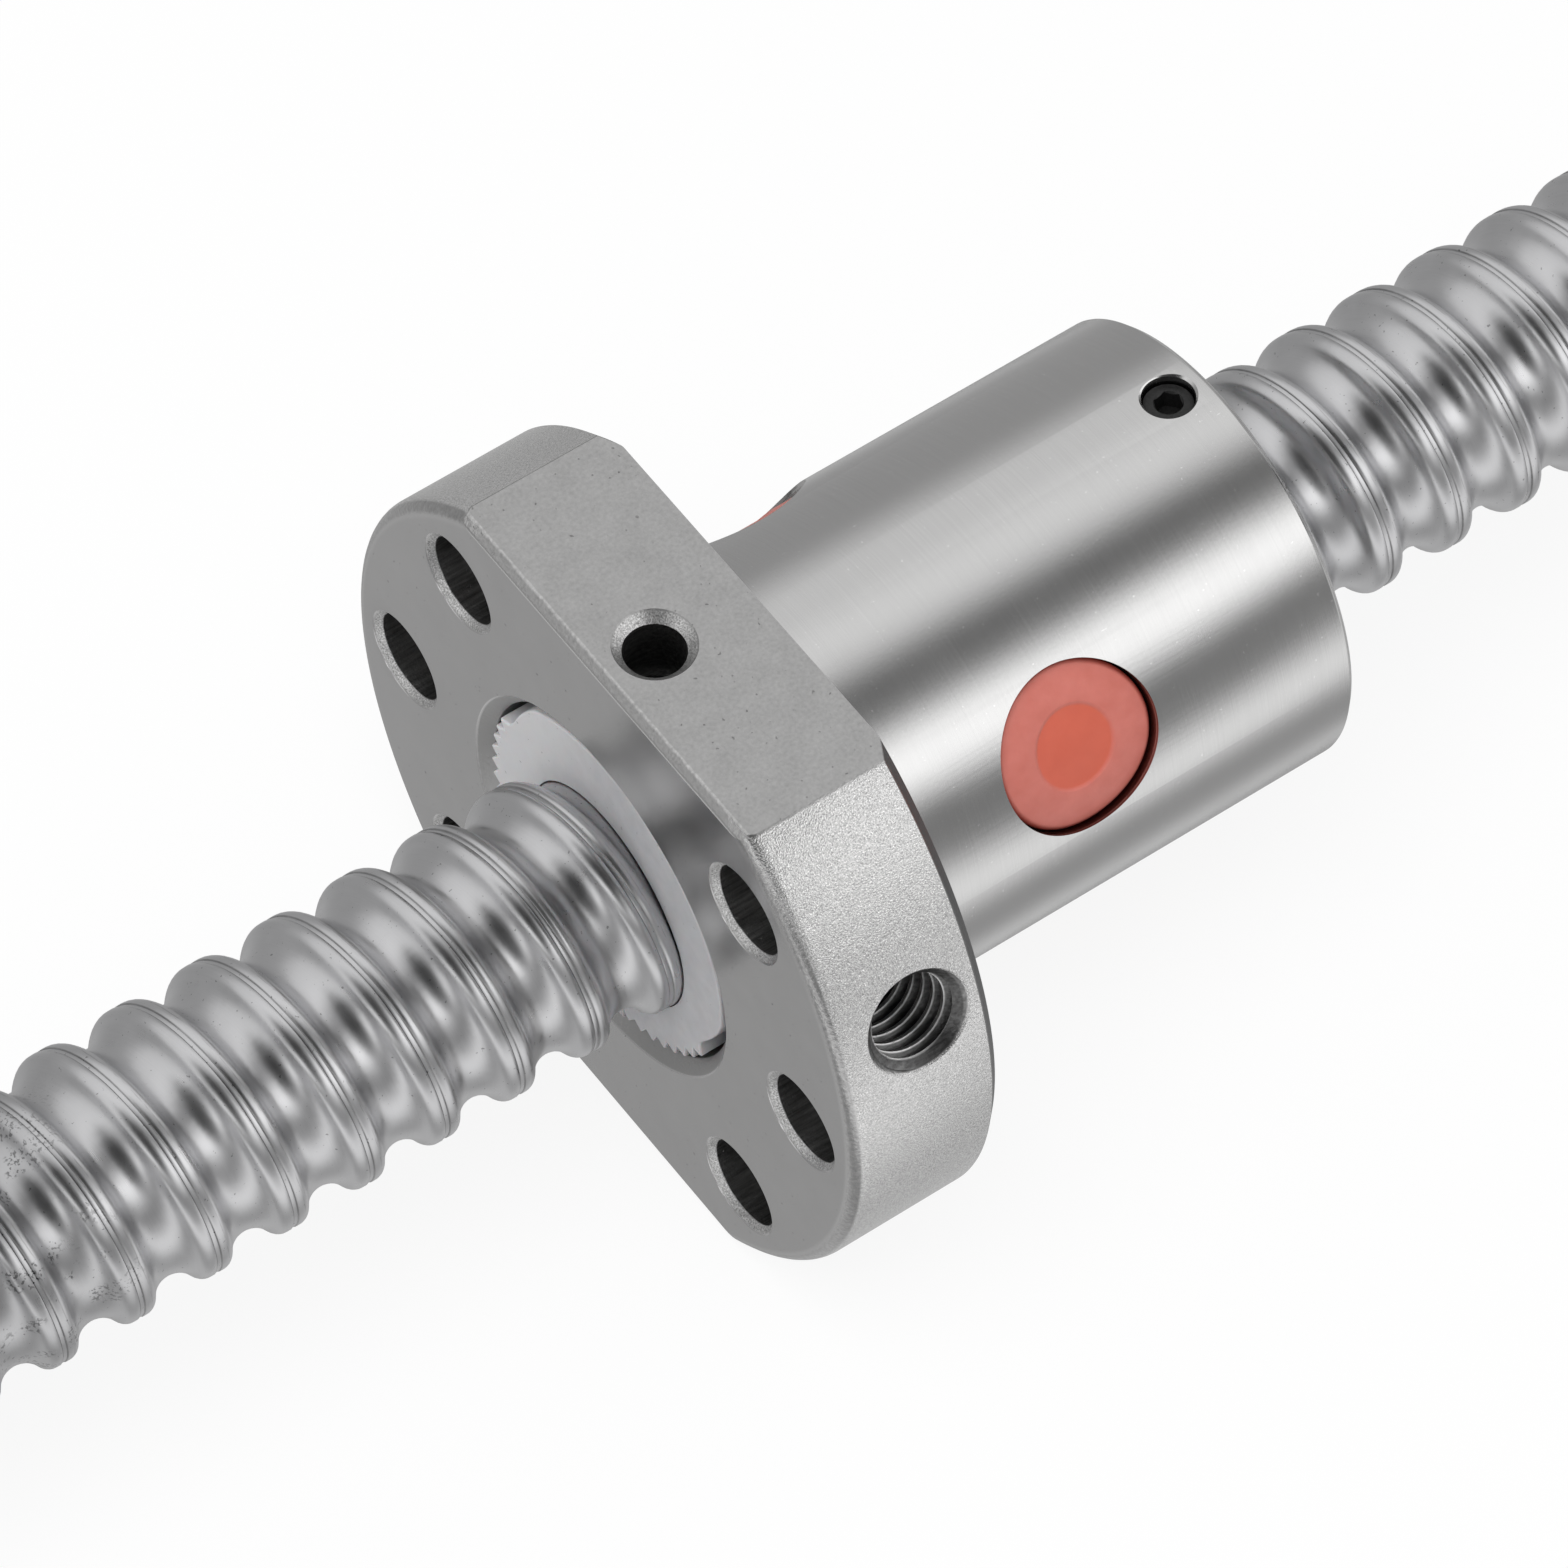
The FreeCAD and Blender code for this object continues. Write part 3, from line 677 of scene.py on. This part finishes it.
def redPlastic():
    # capRadius is how far each point lies from its cap's middle, in mm
    made, g = newMaterial("redPlastic")
    place = g.millimetres()
    rim = g.node("ShaderNodeAttribute", {"attribute_name": "capRadius"}).pin("Fac")
    grain = g.noise(place, redFinish["grainScale"], 3.0, 0.6)
    cloud = g.noise(place, redFinish["cloudScale"], 2.0, 0.5)
    inDish = rim.below(cap["dish"] - redFinish["dishInset"], 0.15)
    ring = g.mix(cloud, redFinish["ringLow"], redFinish["ringHigh"])
    dish = g.mix(cloud, redFinish["dishLow"], redFinish["dishHigh"])
    # painted shade round the cap's rim
    shadedEdge = rim.above(cap["radius"] - redFinish["shadeInset"], 0.16)
    tone = g.mix(shadedEdge, g.mix(inDish, ring, dish), redFinish["edge"])
    surface(g, BaseColor=tone, Roughness=redFinish["rough"] + grain * redFinish["roughSpread"],
            Normal=bump(g, grain, redFinish["bumpStrength"], redFinish["bumpDistance"]),
            SubsurfaceWeight=redFinish["glow"], SubsurfaceScale=redFinish["glowDepth"])
    return made


scratch, _ = newMaterial("scratch")
helicalSkin = helixTree()
past = 1.0  # how far a cutter runs past what it cuts
print("thread tree made")

# the screw
screw = {
    "low": -85.0, "high": 65.0, "sides": 80,
    "grooveRadius": 1.66, "shoulderRadius": 0.72, "grooveChords": 7, "shoulderChords": 5,
    "seamWide": 0.20, "seamWall": 0.13, "seamDeep": 0.08, "seamFloor": 0.05,
}


def makeScrew():
    rod = threadedRod("screwShaft", screwProfile(), thread["pitch"], grooveStart,
                      screw["low"], screw["high"], screw["sides"])
    smoothed(rod, 50.0)
    finishPiece(rod, "screw", "screw_steel", screwSteel(), "screw")


makeScrew()
print("screw made")

# the return caps' sizes; the nut's holes need them too
cap = {
    "radius": 5.0, "face": 13.45, "edge": 0.38, "dish": 2.5, "dishDepth": 0.15, "dishSlope": 0.3,
    "turn": 1.0, "steps": 128,
}

# the nut, flange and barrel in one
nut = {
    "flangeRadius": 24.0, "thickness": 10.0, "flatHeight": 20.0,
    "frontRound": 1.0, "backChamfer": 0.7, "flatChamfer": 0.5,
    "barrelRadius": 14.0, "barrelLength": 32.0, "endChamfer": 0.4, "rootRound": 0.25,
    "bore": 8.25, "seatDepth": 5.3, "frontSeat": 11.2, "frontSeatChamfer": 0.8, "rearSeat": 10.4,
    "boltCircle": 19.0, "boltHole": 2.75, "boltChamfer": 0.40, "boltBack": 0.3,
    "boltAngles": (0, 45, 135, 180, 225, 315),
    "portX": -4.6, "portAngle": 158.0, "portDepth": 9.0, "portSink": 3.35,
    "portMajor": 3.0, "portMinor": 2.5, "portPitch": 1.0, "drillTip": 0.6, "drillCone": 0.9,
    "ductX": -3.3, "ductRadius": 1.0, "ductFrom": 7.0,
    "accessX": -6.3, "accessHole": 1.8, "accessSink": 2.4, "accessDepth": 5.0,
    "setScrewHole": 1.55, "setScrewFrom": 7.5, "rearScrewX": 29.4, "rearScrewAngle": 86.0, "rearSink": 0.15,
    "capHole": 5.1, "capHoleFrom": 4.0, "raceInset": 0.5, "blankInset": 1.5, "steps": 256,
}


def outerChamfer(x, radius, size):
    # at a cylinder's end x, with both corners slightly rounded
    return [(x - size - 0.06, radius), (x - size, radius - 0.02),
            (x - 0.03, radius - size + 0.01), (x, radius - size - 0.06)]


def nutOutline():
    front, soft, root = -nut["thickness"], nut["frontRound"], nut["rootRound"]
    rim, barrel, length = nut["flangeRadius"], nut["barrelRadius"], nut["barrelLength"]
    points = arcPoints(front + soft, rim - soft, soft, 180, 90, 8)
    points += outerChamfer(0, rim, nut["backChamfer"])
    points += arcPoints(root, barrel + root, root, 180, 270, 4)
    points += outerChamfer(length, barrel, nut["endChamfer"])
    # inwards over the seats; the blank between them is left for the race to cut
    seat, blank = nut["seatDepth"], nut["bore"] - nut["blankInset"]
    rear, fore, sink = nut["rearSeat"], nut["frontSeat"], nut["frontSeatChamfer"]
    points += [(length, rear + 0.3), (length - 0.3, rear), (length - seat, rear), (length - seat, blank),
               (front + seat, blank), (front + seat, fore)]
    points += [(front + sink + 0.05, fore), (front + sink, fore + 0.02),
               (front + 0.04, fore + sink - 0.02), (front, fore + sink + 0.04)]
    return points


def flatCutter(turns):
    slope, front, flat = nut["flatChamfer"], -nut["thickness"], nut["flatHeight"]
    wide = nut["flangeRadius"] + 2 * past
    corners = [(front - past, flat - slope - past), (front + slope - 0.03, flat - 0.03),
               (front + slope + 0.05, flat), (past, flat), (past, wide), (front - past, wide)]
    stand = Matrix(((1, 0, 0), (0, 0, -1), (0, 1, 0))).to_4x4()
    return prism("flat", corners, -wide, wide, Matrix.Rotation(turns * math.pi, 4, "X") @ stand)


def boltCutter(degrees):
    hole, sink, deep, back = nut["boltHole"], nut["boltChamfer"], nut["thickness"], nut["boltBack"]
    place = axialPlace(-deep, nut["boltCircle"], degrees)
    outline = [(-past, hole + sink + past + 0.03), (0, hole + sink + 0.03), (sink, hole + 0.02),
               (sink + 0.05, hole), (deep - back, hole), (deep + past, hole + back + past)]
    return spun("bolt", outline, 72, place)


def portCutters():
    place = radialPlace(nut["portX"], nut["portAngle"])
    rim, minor, major, pitch = nut["flangeRadius"], nut["portMinor"], nut["portMajor"], nut["portPitch"]
    halfCrest, halfRoot, half = pitch / 16, pitch / 8, pitch / 2
    profile = [(-half, minor), (-half + halfRoot, minor), (-halfCrest, major),
               (halfCrest, major), (half - halfRoot, minor), (half, minor)]
    bottom, sink = rim - nut["portDepth"], nut["portSink"]
    tap = threadedRod("tap", profile, pitch, 0.0, bottom, rim + past, 48)
    onX = Matrix(((0, 1, 0), (0, 0, 1), (1, 0, 0))).to_4x4()  # local X of the rod to local Z
    tap.data.transform(place @ onX)
    mouth = spun("mouth", [(rim - (sink - minor), minor - 0.01), (rim + past, sink + past)], 72, place)
    drill = spun("drill", [(bottom - nut["drillCone"], nut["drillTip"]), (bottom + 0.4, minor - 0.02)],
                 48, place)
    duct = spun("duct", [(nut["ductFrom"], nut["ductRadius"]), (bottom + 0.5, nut["ductRadius"])], 32,
                radialPlace(nut["ductX"], nut["portAngle"]))
    return [tap, mouth, drill, duct]


def accessCutters():
    place = radialPlace(nut["accessX"], 90)
    top, hole, sink = nut["flatHeight"], nut["accessHole"], nut["accessSink"]
    low, start, tapped = top - nut["accessDepth"], nut["setScrewFrom"], nut["setScrewHole"]
    access = spun("access", [(low, hole), (top - (sink - hole), hole), (top, sink),
                             (top + past, sink + past)], 72, place)
    screwHole = spun("screwHole", [(start, tapped), (low + 0.5, tapped)], 48, place)
    rear, dip = nut["barrelRadius"], nut["rearSink"]
    rearHole = spun("rearHole", [(start, tapped), (rear - dip, tapped),
                                 (rear + past, tapped + dip + past)], 64,
                    radialPlace(nut["rearScrewX"], nut["rearScrewAngle"]))
    return [access, screwHole, rearHole]


def capHoleCutter(circuit):
    outline = [(nut["capHoleFrom"], nut["capHole"]), (nut["barrelRadius"] + 2 * past, nut["capHole"])]
    return spun("capHole", outline, cap["steps"], radialPlace(capX(circuit), capAngle(circuit)))


def makeNut():
    piece = turned("nutBody", nutOutline(), nut["steps"])
    low = -nut["thickness"] + nut["seatDepth"] - nut["raceInset"]
    high = nut["barrelLength"] - nut["seatDepth"] + nut["raceInset"]
    race = threadedRod("race", nutProfile(nut["bore"], 10), thread["pitch"], grooveStart, low, high, 64)
    cutters = [flatCutter(0), flatCutter(1)] + [boltCutter(a) for a in nut["boltAngles"]]
    cutters += portCutters() + accessCutters() + [race]
    for circuit in (1, 2, 3):
        cutters += [capHoleCutter(circuit), returnChannel(circuit)]
    carved(piece, cutters)
    smoothed(piece, 20.0)
    finishPiece(piece, "nut", "nut_steel", nutSteel(), "nut_body")


makeNut()
print("nut made")

# the plastic wipers
wiper = {
    "thickness": 5.0, "setback": 0.3, "outer": 11.12, "tipSetback": 0.2, "toothHeight": 0.60,
    "toothStep": 6.5, "tipShare": 0.62, "teeth": 8, "notchDepth": 1.0, "notchWidth": 24.0, "turn": 118.0,
    "halfTop": 66.0, "stepUp": 0.4, "edge": 0.12, "bore": 7.87, "rearOuter": 10.3,
    "lipDepth": 0.75, "lipClearance": 0.09, "lipOverlap": 0.3, "lipSides": 72,
}
plasticWhite = whitePlastic()


def wiperEdge():
    # (degrees, radius) round one half: plain arc, sloping notch, teeth, a step up and plain arc again
    outer, top, step = wiper["outer"], wiper["halfTop"], wiper["toothStep"]
    tip = outer - wiper["tipSetback"]
    root = tip - wiper["toothHeight"]
    slope = wiper["notchDepth"] / wiper["notchWidth"]
    first = top + wiper["notchWidth"]
    last = first + step * wiper["teeth"]
    half = [(float(a), outer) for a in range(0, int(top) + 1, 2)]
    half += [(a, outer - slope * (a - top)) for a in range(int(top) + 4, int(first), 4)]
    for i in range(wiper["teeth"]):
        half += [(first + step * i, root), (first + step * (i + wiper["tipShare"]), tip)]
    half += [(last, root), (last + wiper["stepUp"], outer)]
    half += [(a, outer) for a in range(int(last) + 3, 180, 3)]
    left = [(wiper["turn"] + a, r) for a, r in half]
    right = [(wiper["turn"] - a, r) for a, r in reversed(half[1:])]
    return left + [(wiper["turn"] + 180, outer)] + [(a + 360, r) for a, r in right]


def makeFrontWiper():
    edge = wiperEdge()
    start = -nut["thickness"] + wiper["setback"]
    end = start + wiper["thickness"]
    soft = wiper["edge"]
    verts = []
    # the front edge is rounded in two steps
    for x, inset in ((start, soft), (start + soft * 0.35, soft * 0.3), (start + soft, 0), (end, 0)):
        verts += [polar(x, r - inset, a) for a, r in edge]
    size = len(edge)
    faces = [tuple(reversed(range(size))), tuple(range(3 * size, 4 * size))]
    for row in range(3):
        for i in range(size):
            j = (i + 1) % size
            faces.append((row * size + i, row * size + j, (row + 1) * size + j, (row + 1) * size + i))
    piece = tidied(meshObject("frontWiper", verts, faces))
    deep = start + wiper["lipDepth"]
    lip = threadedRod("lip", screwProfile(wiper["lipClearance"]), thread["pitch"], grooveStart,
                      start - past, deep + wiper["lipOverlap"], wiper["lipSides"])
    bore = spun("bore", [(deep, wiper["bore"]), (end + past, wiper["bore"])], 96, axialPlace(0, 0, 0))
    carved(piece, [lip, bore])
    smoothed(piece, 12.0)
    finishPiece(piece, "nut", "white_plastic", plasticWhite, "front_wiper")


def makeRearWiper():
    end = nut["barrelLength"] - wiper["setback"]
    start = end - wiper["thickness"]
    soft, outer, bore = wiper["edge"], wiper["rearOuter"], wiper["bore"]
    outline = [(start, bore), (start, outer - soft), (start + soft, outer), (end - soft, outer),
               (end, outer - soft), (end, bore + 0.4), (end - 0.4, bore)]
    piece = smoothed(turned("rearWiper", outline, 192), 30.0)
    finishPiece(piece, "carrier", "white_plastic", plasticWhite, "rear_wiper")


makeFrontWiper()
makeRearWiper()
print("wipers made")


# the red return caps
def capFall(rho):
    # how far the face lies below the barrel's curve at a distance from the cap's middle
    fall = 0.0
    inner = cap["radius"] - cap["edge"]
    if rho > inner:
        fall += cap["edge"] - math.sqrt(max(0.0, cap["edge"] ** 2 - (rho - inner) ** 2))
    t = max(0.0, min(1.0, (cap["dish"] - rho) / cap["dishSlope"] + 0.5))
    return fall + cap["dishDepth"] * t * t * (3 - 2 * t)


def makeCap(circuit):
    place = radialPlace(capX(circuit), capAngle(circuit))
    steps, edge = cap["steps"], cap["radius"]
    dish, slope = cap["dish"], cap["dishSlope"]
    rings = [0.6, 1.3, dish - slope * 0.6, dish - slope * 0.35, dish - slope * 0.15, dish + slope * 0.1,
             dish + slope * 0.3, dish + slope * 0.55, 3.3, 4.0]
    rings += [edge - cap["edge"] * (1 - math.sin(math.radians(a))) for a in range(0, 91, 15)]
    verts = [place @ (Vector((0, 0, cap["face"] - capFall(0))) * mm)]

    def ring(rho, height):
        for i in range(steps):
            a = 2 * math.pi * i / steps
            along, side = rho * math.cos(a), rho * math.sin(a)
            verts.append(place @ (Vector((along, side, height(side))) * mm))

    for rho in rings:
        ring(rho, lambda side, rho=rho: math.sqrt(cap["face"] ** 2 - side ** 2) - capFall(rho))
    for rho in (edge, 2.2):
        ring(rho, lambda side: math.sqrt(nut["bore"] ** 2 - side ** 2))
    rows = len(rings) + 2
    verts.append(place @ (Vector((0, 0, nut["bore"])) * mm))
    faces = [(0, 1 + i, 1 + (i + 1) % steps) for i in range(steps)]
    for row in range(rows - 1):
        for i in range(steps):
            j = (i + 1) % steps
            low, high = 1 + row * steps, 1 + (row + 1) * steps
            faces.append((low + i, high + i, high + j, low + j))
    last = 1 + (rows - 1) * steps
    faces += [(len(verts) - 1, last + (i + 1) % steps, last + i) for i in range(steps)]
    piece = tidied(meshObject(f"returnCap{circuit}", verts, faces))
    carved(piece, [returnChannel(circuit)])
    back = place.inverted()
    held = piece.data.attributes.new("capRadius", "FLOAT", "POINT")
    for vertex in piece.data.vertices:
        local = back @ vertex.co
        held.data[vertex.index].value = math.hypot(local.x, local.y) / mm
    smoothed(piece, 32.0)
    finishPiece(piece, "nut", "red_plastic", plasticRed, f"return_cap_{circuit}")


plasticRed = redPlastic()
for circuit in (1, 2, 3):
    makeCap(circuit)
print("caps made")

# the balls
balls = {"divisions": 3}


def ballTree():
    tree = bpy.data.node_groups.new("ballsInTrack", "GeometryNodeTree")
    face = tree.interface
    face.new_socket("Places", in_out="INPUT", socket_type="NodeSocketGeometry")
    face.new_socket("Radius", in_out="INPUT", socket_type="NodeSocketFloat")
    face.new_socket("Divisions", in_out="INPUT", socket_type="NodeSocketInt")
    face.new_socket("Skin", in_out="INPUT", socket_type="NodeSocketMaterial")
    face.new_socket("Geometry", in_out="OUTPUT", socket_type="NodeSocketGeometry")
    g = Graph(tree)
    given = g.node("NodeGroupInput")
    ball = g.node("GeometryNodeMeshIcoSphere", {},
                  {"Radius": given.pin("Radius"), "Subdivisions": given.pin("Divisions")})
    spots = g.node("GeometryNodeMeshToPoints", {}, {"Mesh": given.pin("Places")})
    placed = g.node("GeometryNodeInstanceOnPoints", {}, {"Points": spots, "Instance": ball})
    real = g.node("GeometryNodeRealizeInstances", {}, {"Geometry": placed})
    clad = g.node("GeometryNodeSetMaterial", {}, {"Geometry": real, "Material": given.pin("Skin")})
    g.node("NodeGroupOutput", {}, {0: clad})
    return tree


ballsInTrack = ballTree()
steelBall = ballSteel()


def makeBalls(circuit):
    nodes = [f"ball_{circuit}_{n:02d}" for n in range(1, thread["ballsPerCircuit"] + 1)]
    centres = [(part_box(n)[0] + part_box(n)[1]) / 2 for n in nodes]
    piece = meshObject(f"ballsCircuit{circuit}", centres, [])
    grow = piece.modifiers.new("balls", "NODES")
    grow.node_group = ballsInTrack
    nodeInput(grow, "Radius", thread["ballRadius"] * mm)
    nodeInput(grow, "Divisions", balls["divisions"])
    nodeInput(grow, "Skin", steelBall)
    settled(piece)
    piece.data.shade_smooth()
    finishPiece(piece, "nut", "ball_steel", steelBall, *nodes)


for circuit in (1, 2, 3):
    makeBalls(circuit)
print("balls made")

# the socket set screws
setScrew = {"radius": 1.5, "length": 3.0, "across": 1.5, "socketDepth": 1.2, "tip": 0.4, "edge": 0.22,
            "mouth": 0.12, "gap": 0.1}
steelBlack = blackSteel()


def makeSetScrew(name, x, degrees, tip, node):
    place = radialPlace(x, degrees)
    radius, soft, end = setScrew["radius"], setScrew["edge"], tip + setScrew["length"]
    outline = [(tip, radius - setScrew["tip"]), (tip + setScrew["tip"], radius), (end - soft, radius),
               (end - soft * 0.3, radius - soft * 0.35), (end, radius - soft)]
    piece = spun(name, outline, 64, place)
    corner = setScrew["across"] / math.sqrt(3)
    hexagon = [(corner * math.cos(math.radians(a)), corner * math.sin(math.radians(a)))
               for a in range(10, 370, 60)]
    socket = prism("socket", hexagon, end - setScrew["socketDepth"], end + past, place)
    sink = setScrew["mouth"]
    mouth = spun("mouth", [(end - sink, corner - sink), (end + 0.5, corner + 0.5)], 48, place)
    carved(piece, [socket, mouth])
    smoothed(piece, 30.0)
    finishPiece(piece, "nut", "black_steel", steelBlack, node)


makeSetScrew("frontSetScrew", nut["accessX"], 90, wiper["outer"] + setScrew["gap"], "front_set_screw")
makeSetScrew("rearSetScrew", nut["rearScrewX"], nut["rearScrewAngle"], wiper["rearOuter"] + setScrew["gap"],
             "rear_set_screw")
print("set screws made")

# floor, light and camera
studio = {
    "floorHeight": -20.05, "floorSize": 4.0, "floorColour": 0.86, "whiteShare": 0.88,
    "lampPower": 5.0, "lampSize": 0.6, "lampPlace": (-0.25, -0.15, 0.8),
    "diffuseLevel": 0.60, "glossLevel": 1.6,
    # what polished steel sees: an even room, soft panels along the screw's axis and dark flags between
    # them. Each is a middle in degrees from +Y towards +Z, half a width, a soft edge and a brightness.
    "room": 0.25,
    "panels": {
        "high": (142, 15, 13, 0.74), "low": (-145, 15, 14, 0.45), "side": (58, 30, 15, 0.28),
        "sideEdge": (75, 14, 9, 0.10), "under": (-85, 12, 12, 0.14), "underEdge": (-45, 10, 10, 0.06),
        "topFlag": (105, 10, 10, -0.12), "backFlag": (175, 14, 14, -0.08),
    },
    # the camera's own side of the room is dark
    "cameraSide": (-0.365, -0.458, 0.811), "cameraDark": 0.95, "cameraEdge": (0.76, 0.94),
}


def makeFloor():
    half = studio["floorSize"] / 2
    z = studio["floorHeight"] * mm
    corners = [(-half, -half, z), (half, -half, z), (half, half, z), (-half, half, z)]
    floor = meshObject("floor", corners, [(0, 1, 2, 3)])
    made, g = newMaterial("paleFloor")
    ray = g.node("ShaderNodeLightPath")
    seen = ray.pin("Is Camera Ray").maths("MAXIMUM", ray.pin("Is Glossy Ray")).maths(
        "MAXIMUM", ray.pin("Is Transmission Ray"))
    plain = g.node("ShaderNodeBsdfDiffuse", {}, {"Color": grey(studio["floorColour"])})
    white = g.node("ShaderNodeEmission", {}, {"Color": grey(1.0), "Strength": 1.0})
    both = g.node("ShaderNodeMixShader", {}, {0: seen * studio["whiteShare"], 1: plain, 2: white})
    g.node("ShaderNodeOutputMaterial", {}, {"Surface": both})
    floor.data.materials.append(made)
    floor.visible_glossy = False


def makeWorld():
    world = bpy.data.worlds.new("studio")
    world.use_nodes = True
    world.node_tree.nodes.clear()
    g = Graph(world.node_tree)
    way = g.node("ShaderNodeTexCoord").pin("Generated")
    _, y, z = g.parts(way)
    degrees = z.maths("ARCTAN2", y) * (180 / math.pi)
    light = studio["room"]
    for middle, half, blur, level in studio["panels"].values():
        # the distance goes round the circle, so a panel may lie across 180 degrees
        away = ((degrees - middle + 540.0).maths("MODULO", 360.0) - 180.0).maths("ABSOLUTE")
        light = light + away.below(half, blur) * level
    near = g.node("ShaderNodeVectorMath", {"operation": "DOT_PRODUCT"},
                  {0: way, 1: studio["cameraSide"]}).pin("Value")
    low, high = studio["cameraEdge"]
    dark = near.above((low + high) / 2, (high - low) / 2) * studio["cameraDark"]
    ray = g.node("ShaderNodeLightPath")
    soft = g.node("ShaderNodeBackground", {}, {"Color": grey(1.0), "Strength": studio["diffuseLevel"]})
    light = light * (1.0 - dark) * studio["glossLevel"]
    gloss = g.node("ShaderNodeBackground", {}, {"Color": grey(1.0), "Strength": light})
    white = g.node("ShaderNodeBackground", {}, {"Color": grey(1.0), "Strength": 1.0})
    both = g.node("ShaderNodeMixShader", {}, {0: ray.pin("Is Glossy Ray"), 1: soft, 2: gloss})
    both = g.node("ShaderNodeMixShader", {}, {0: ray.pin("Is Camera Ray"), 1: both, 2: white})
    g.node("ShaderNodeOutputWorld", {}, {"Surface": both})
    scene.world = world


def makeLamp():
    lamp = bpy.data.lights.new("softLamp", "AREA")
    lamp.size = studio["lampSize"]
    lamp.energy = studio["lampPower"]
    stand = bpy.data.objects.new("softLamp", lamp)
    stand.location = studio["lampPlace"]
    stand.rotation_euler = (-Vector(studio["lampPlace"])).to_track_quat("-Z", "Y").to_euler()
    stand.visible_glossy = False
    scene.collection.objects.link(stand)


camera = {
    "place": (-198.68, -269.79, 478.20),
    "turns": (150.58862, -20.11951, -30.20831),  # degrees about X, then Y, then Z
    "focalPixels": 10493.0, "imagePixels": 1568.0, "sensor": 36.0,
}


def makeCamera():
    data = bpy.data.cameras.new("camera")
    data.sensor_width = camera["sensor"]
    data.lens = camera["focalPixels"] / camera["imagePixels"] * camera["sensor"]
    data.clip_start, data.clip_end = 0.01, 10.0
    stand = bpy.data.objects.new("camera", data)
    rx, ry, rz = (math.radians(a) for a in camera["turns"])
    turn = Matrix.Rotation(rz, 3, "Z") @ Matrix.Rotation(ry, 3, "Y") @ Matrix.Rotation(rx, 3, "X")
    stand.matrix_world = Matrix.Translation(Vector(camera["place"]) * mm) @ Matrix(
        (turn[0], -turn[1], -turn[2])).transposed().to_4x4()
    scene.collection.objects.link(stand)
    scene.camera = stand


makeFloor()
makeWorld()
makeLamp()
makeCamera()
scene.view_settings.view_transform = "Standard"
bpy.data.materials.remove(scratch)

print("scene made")
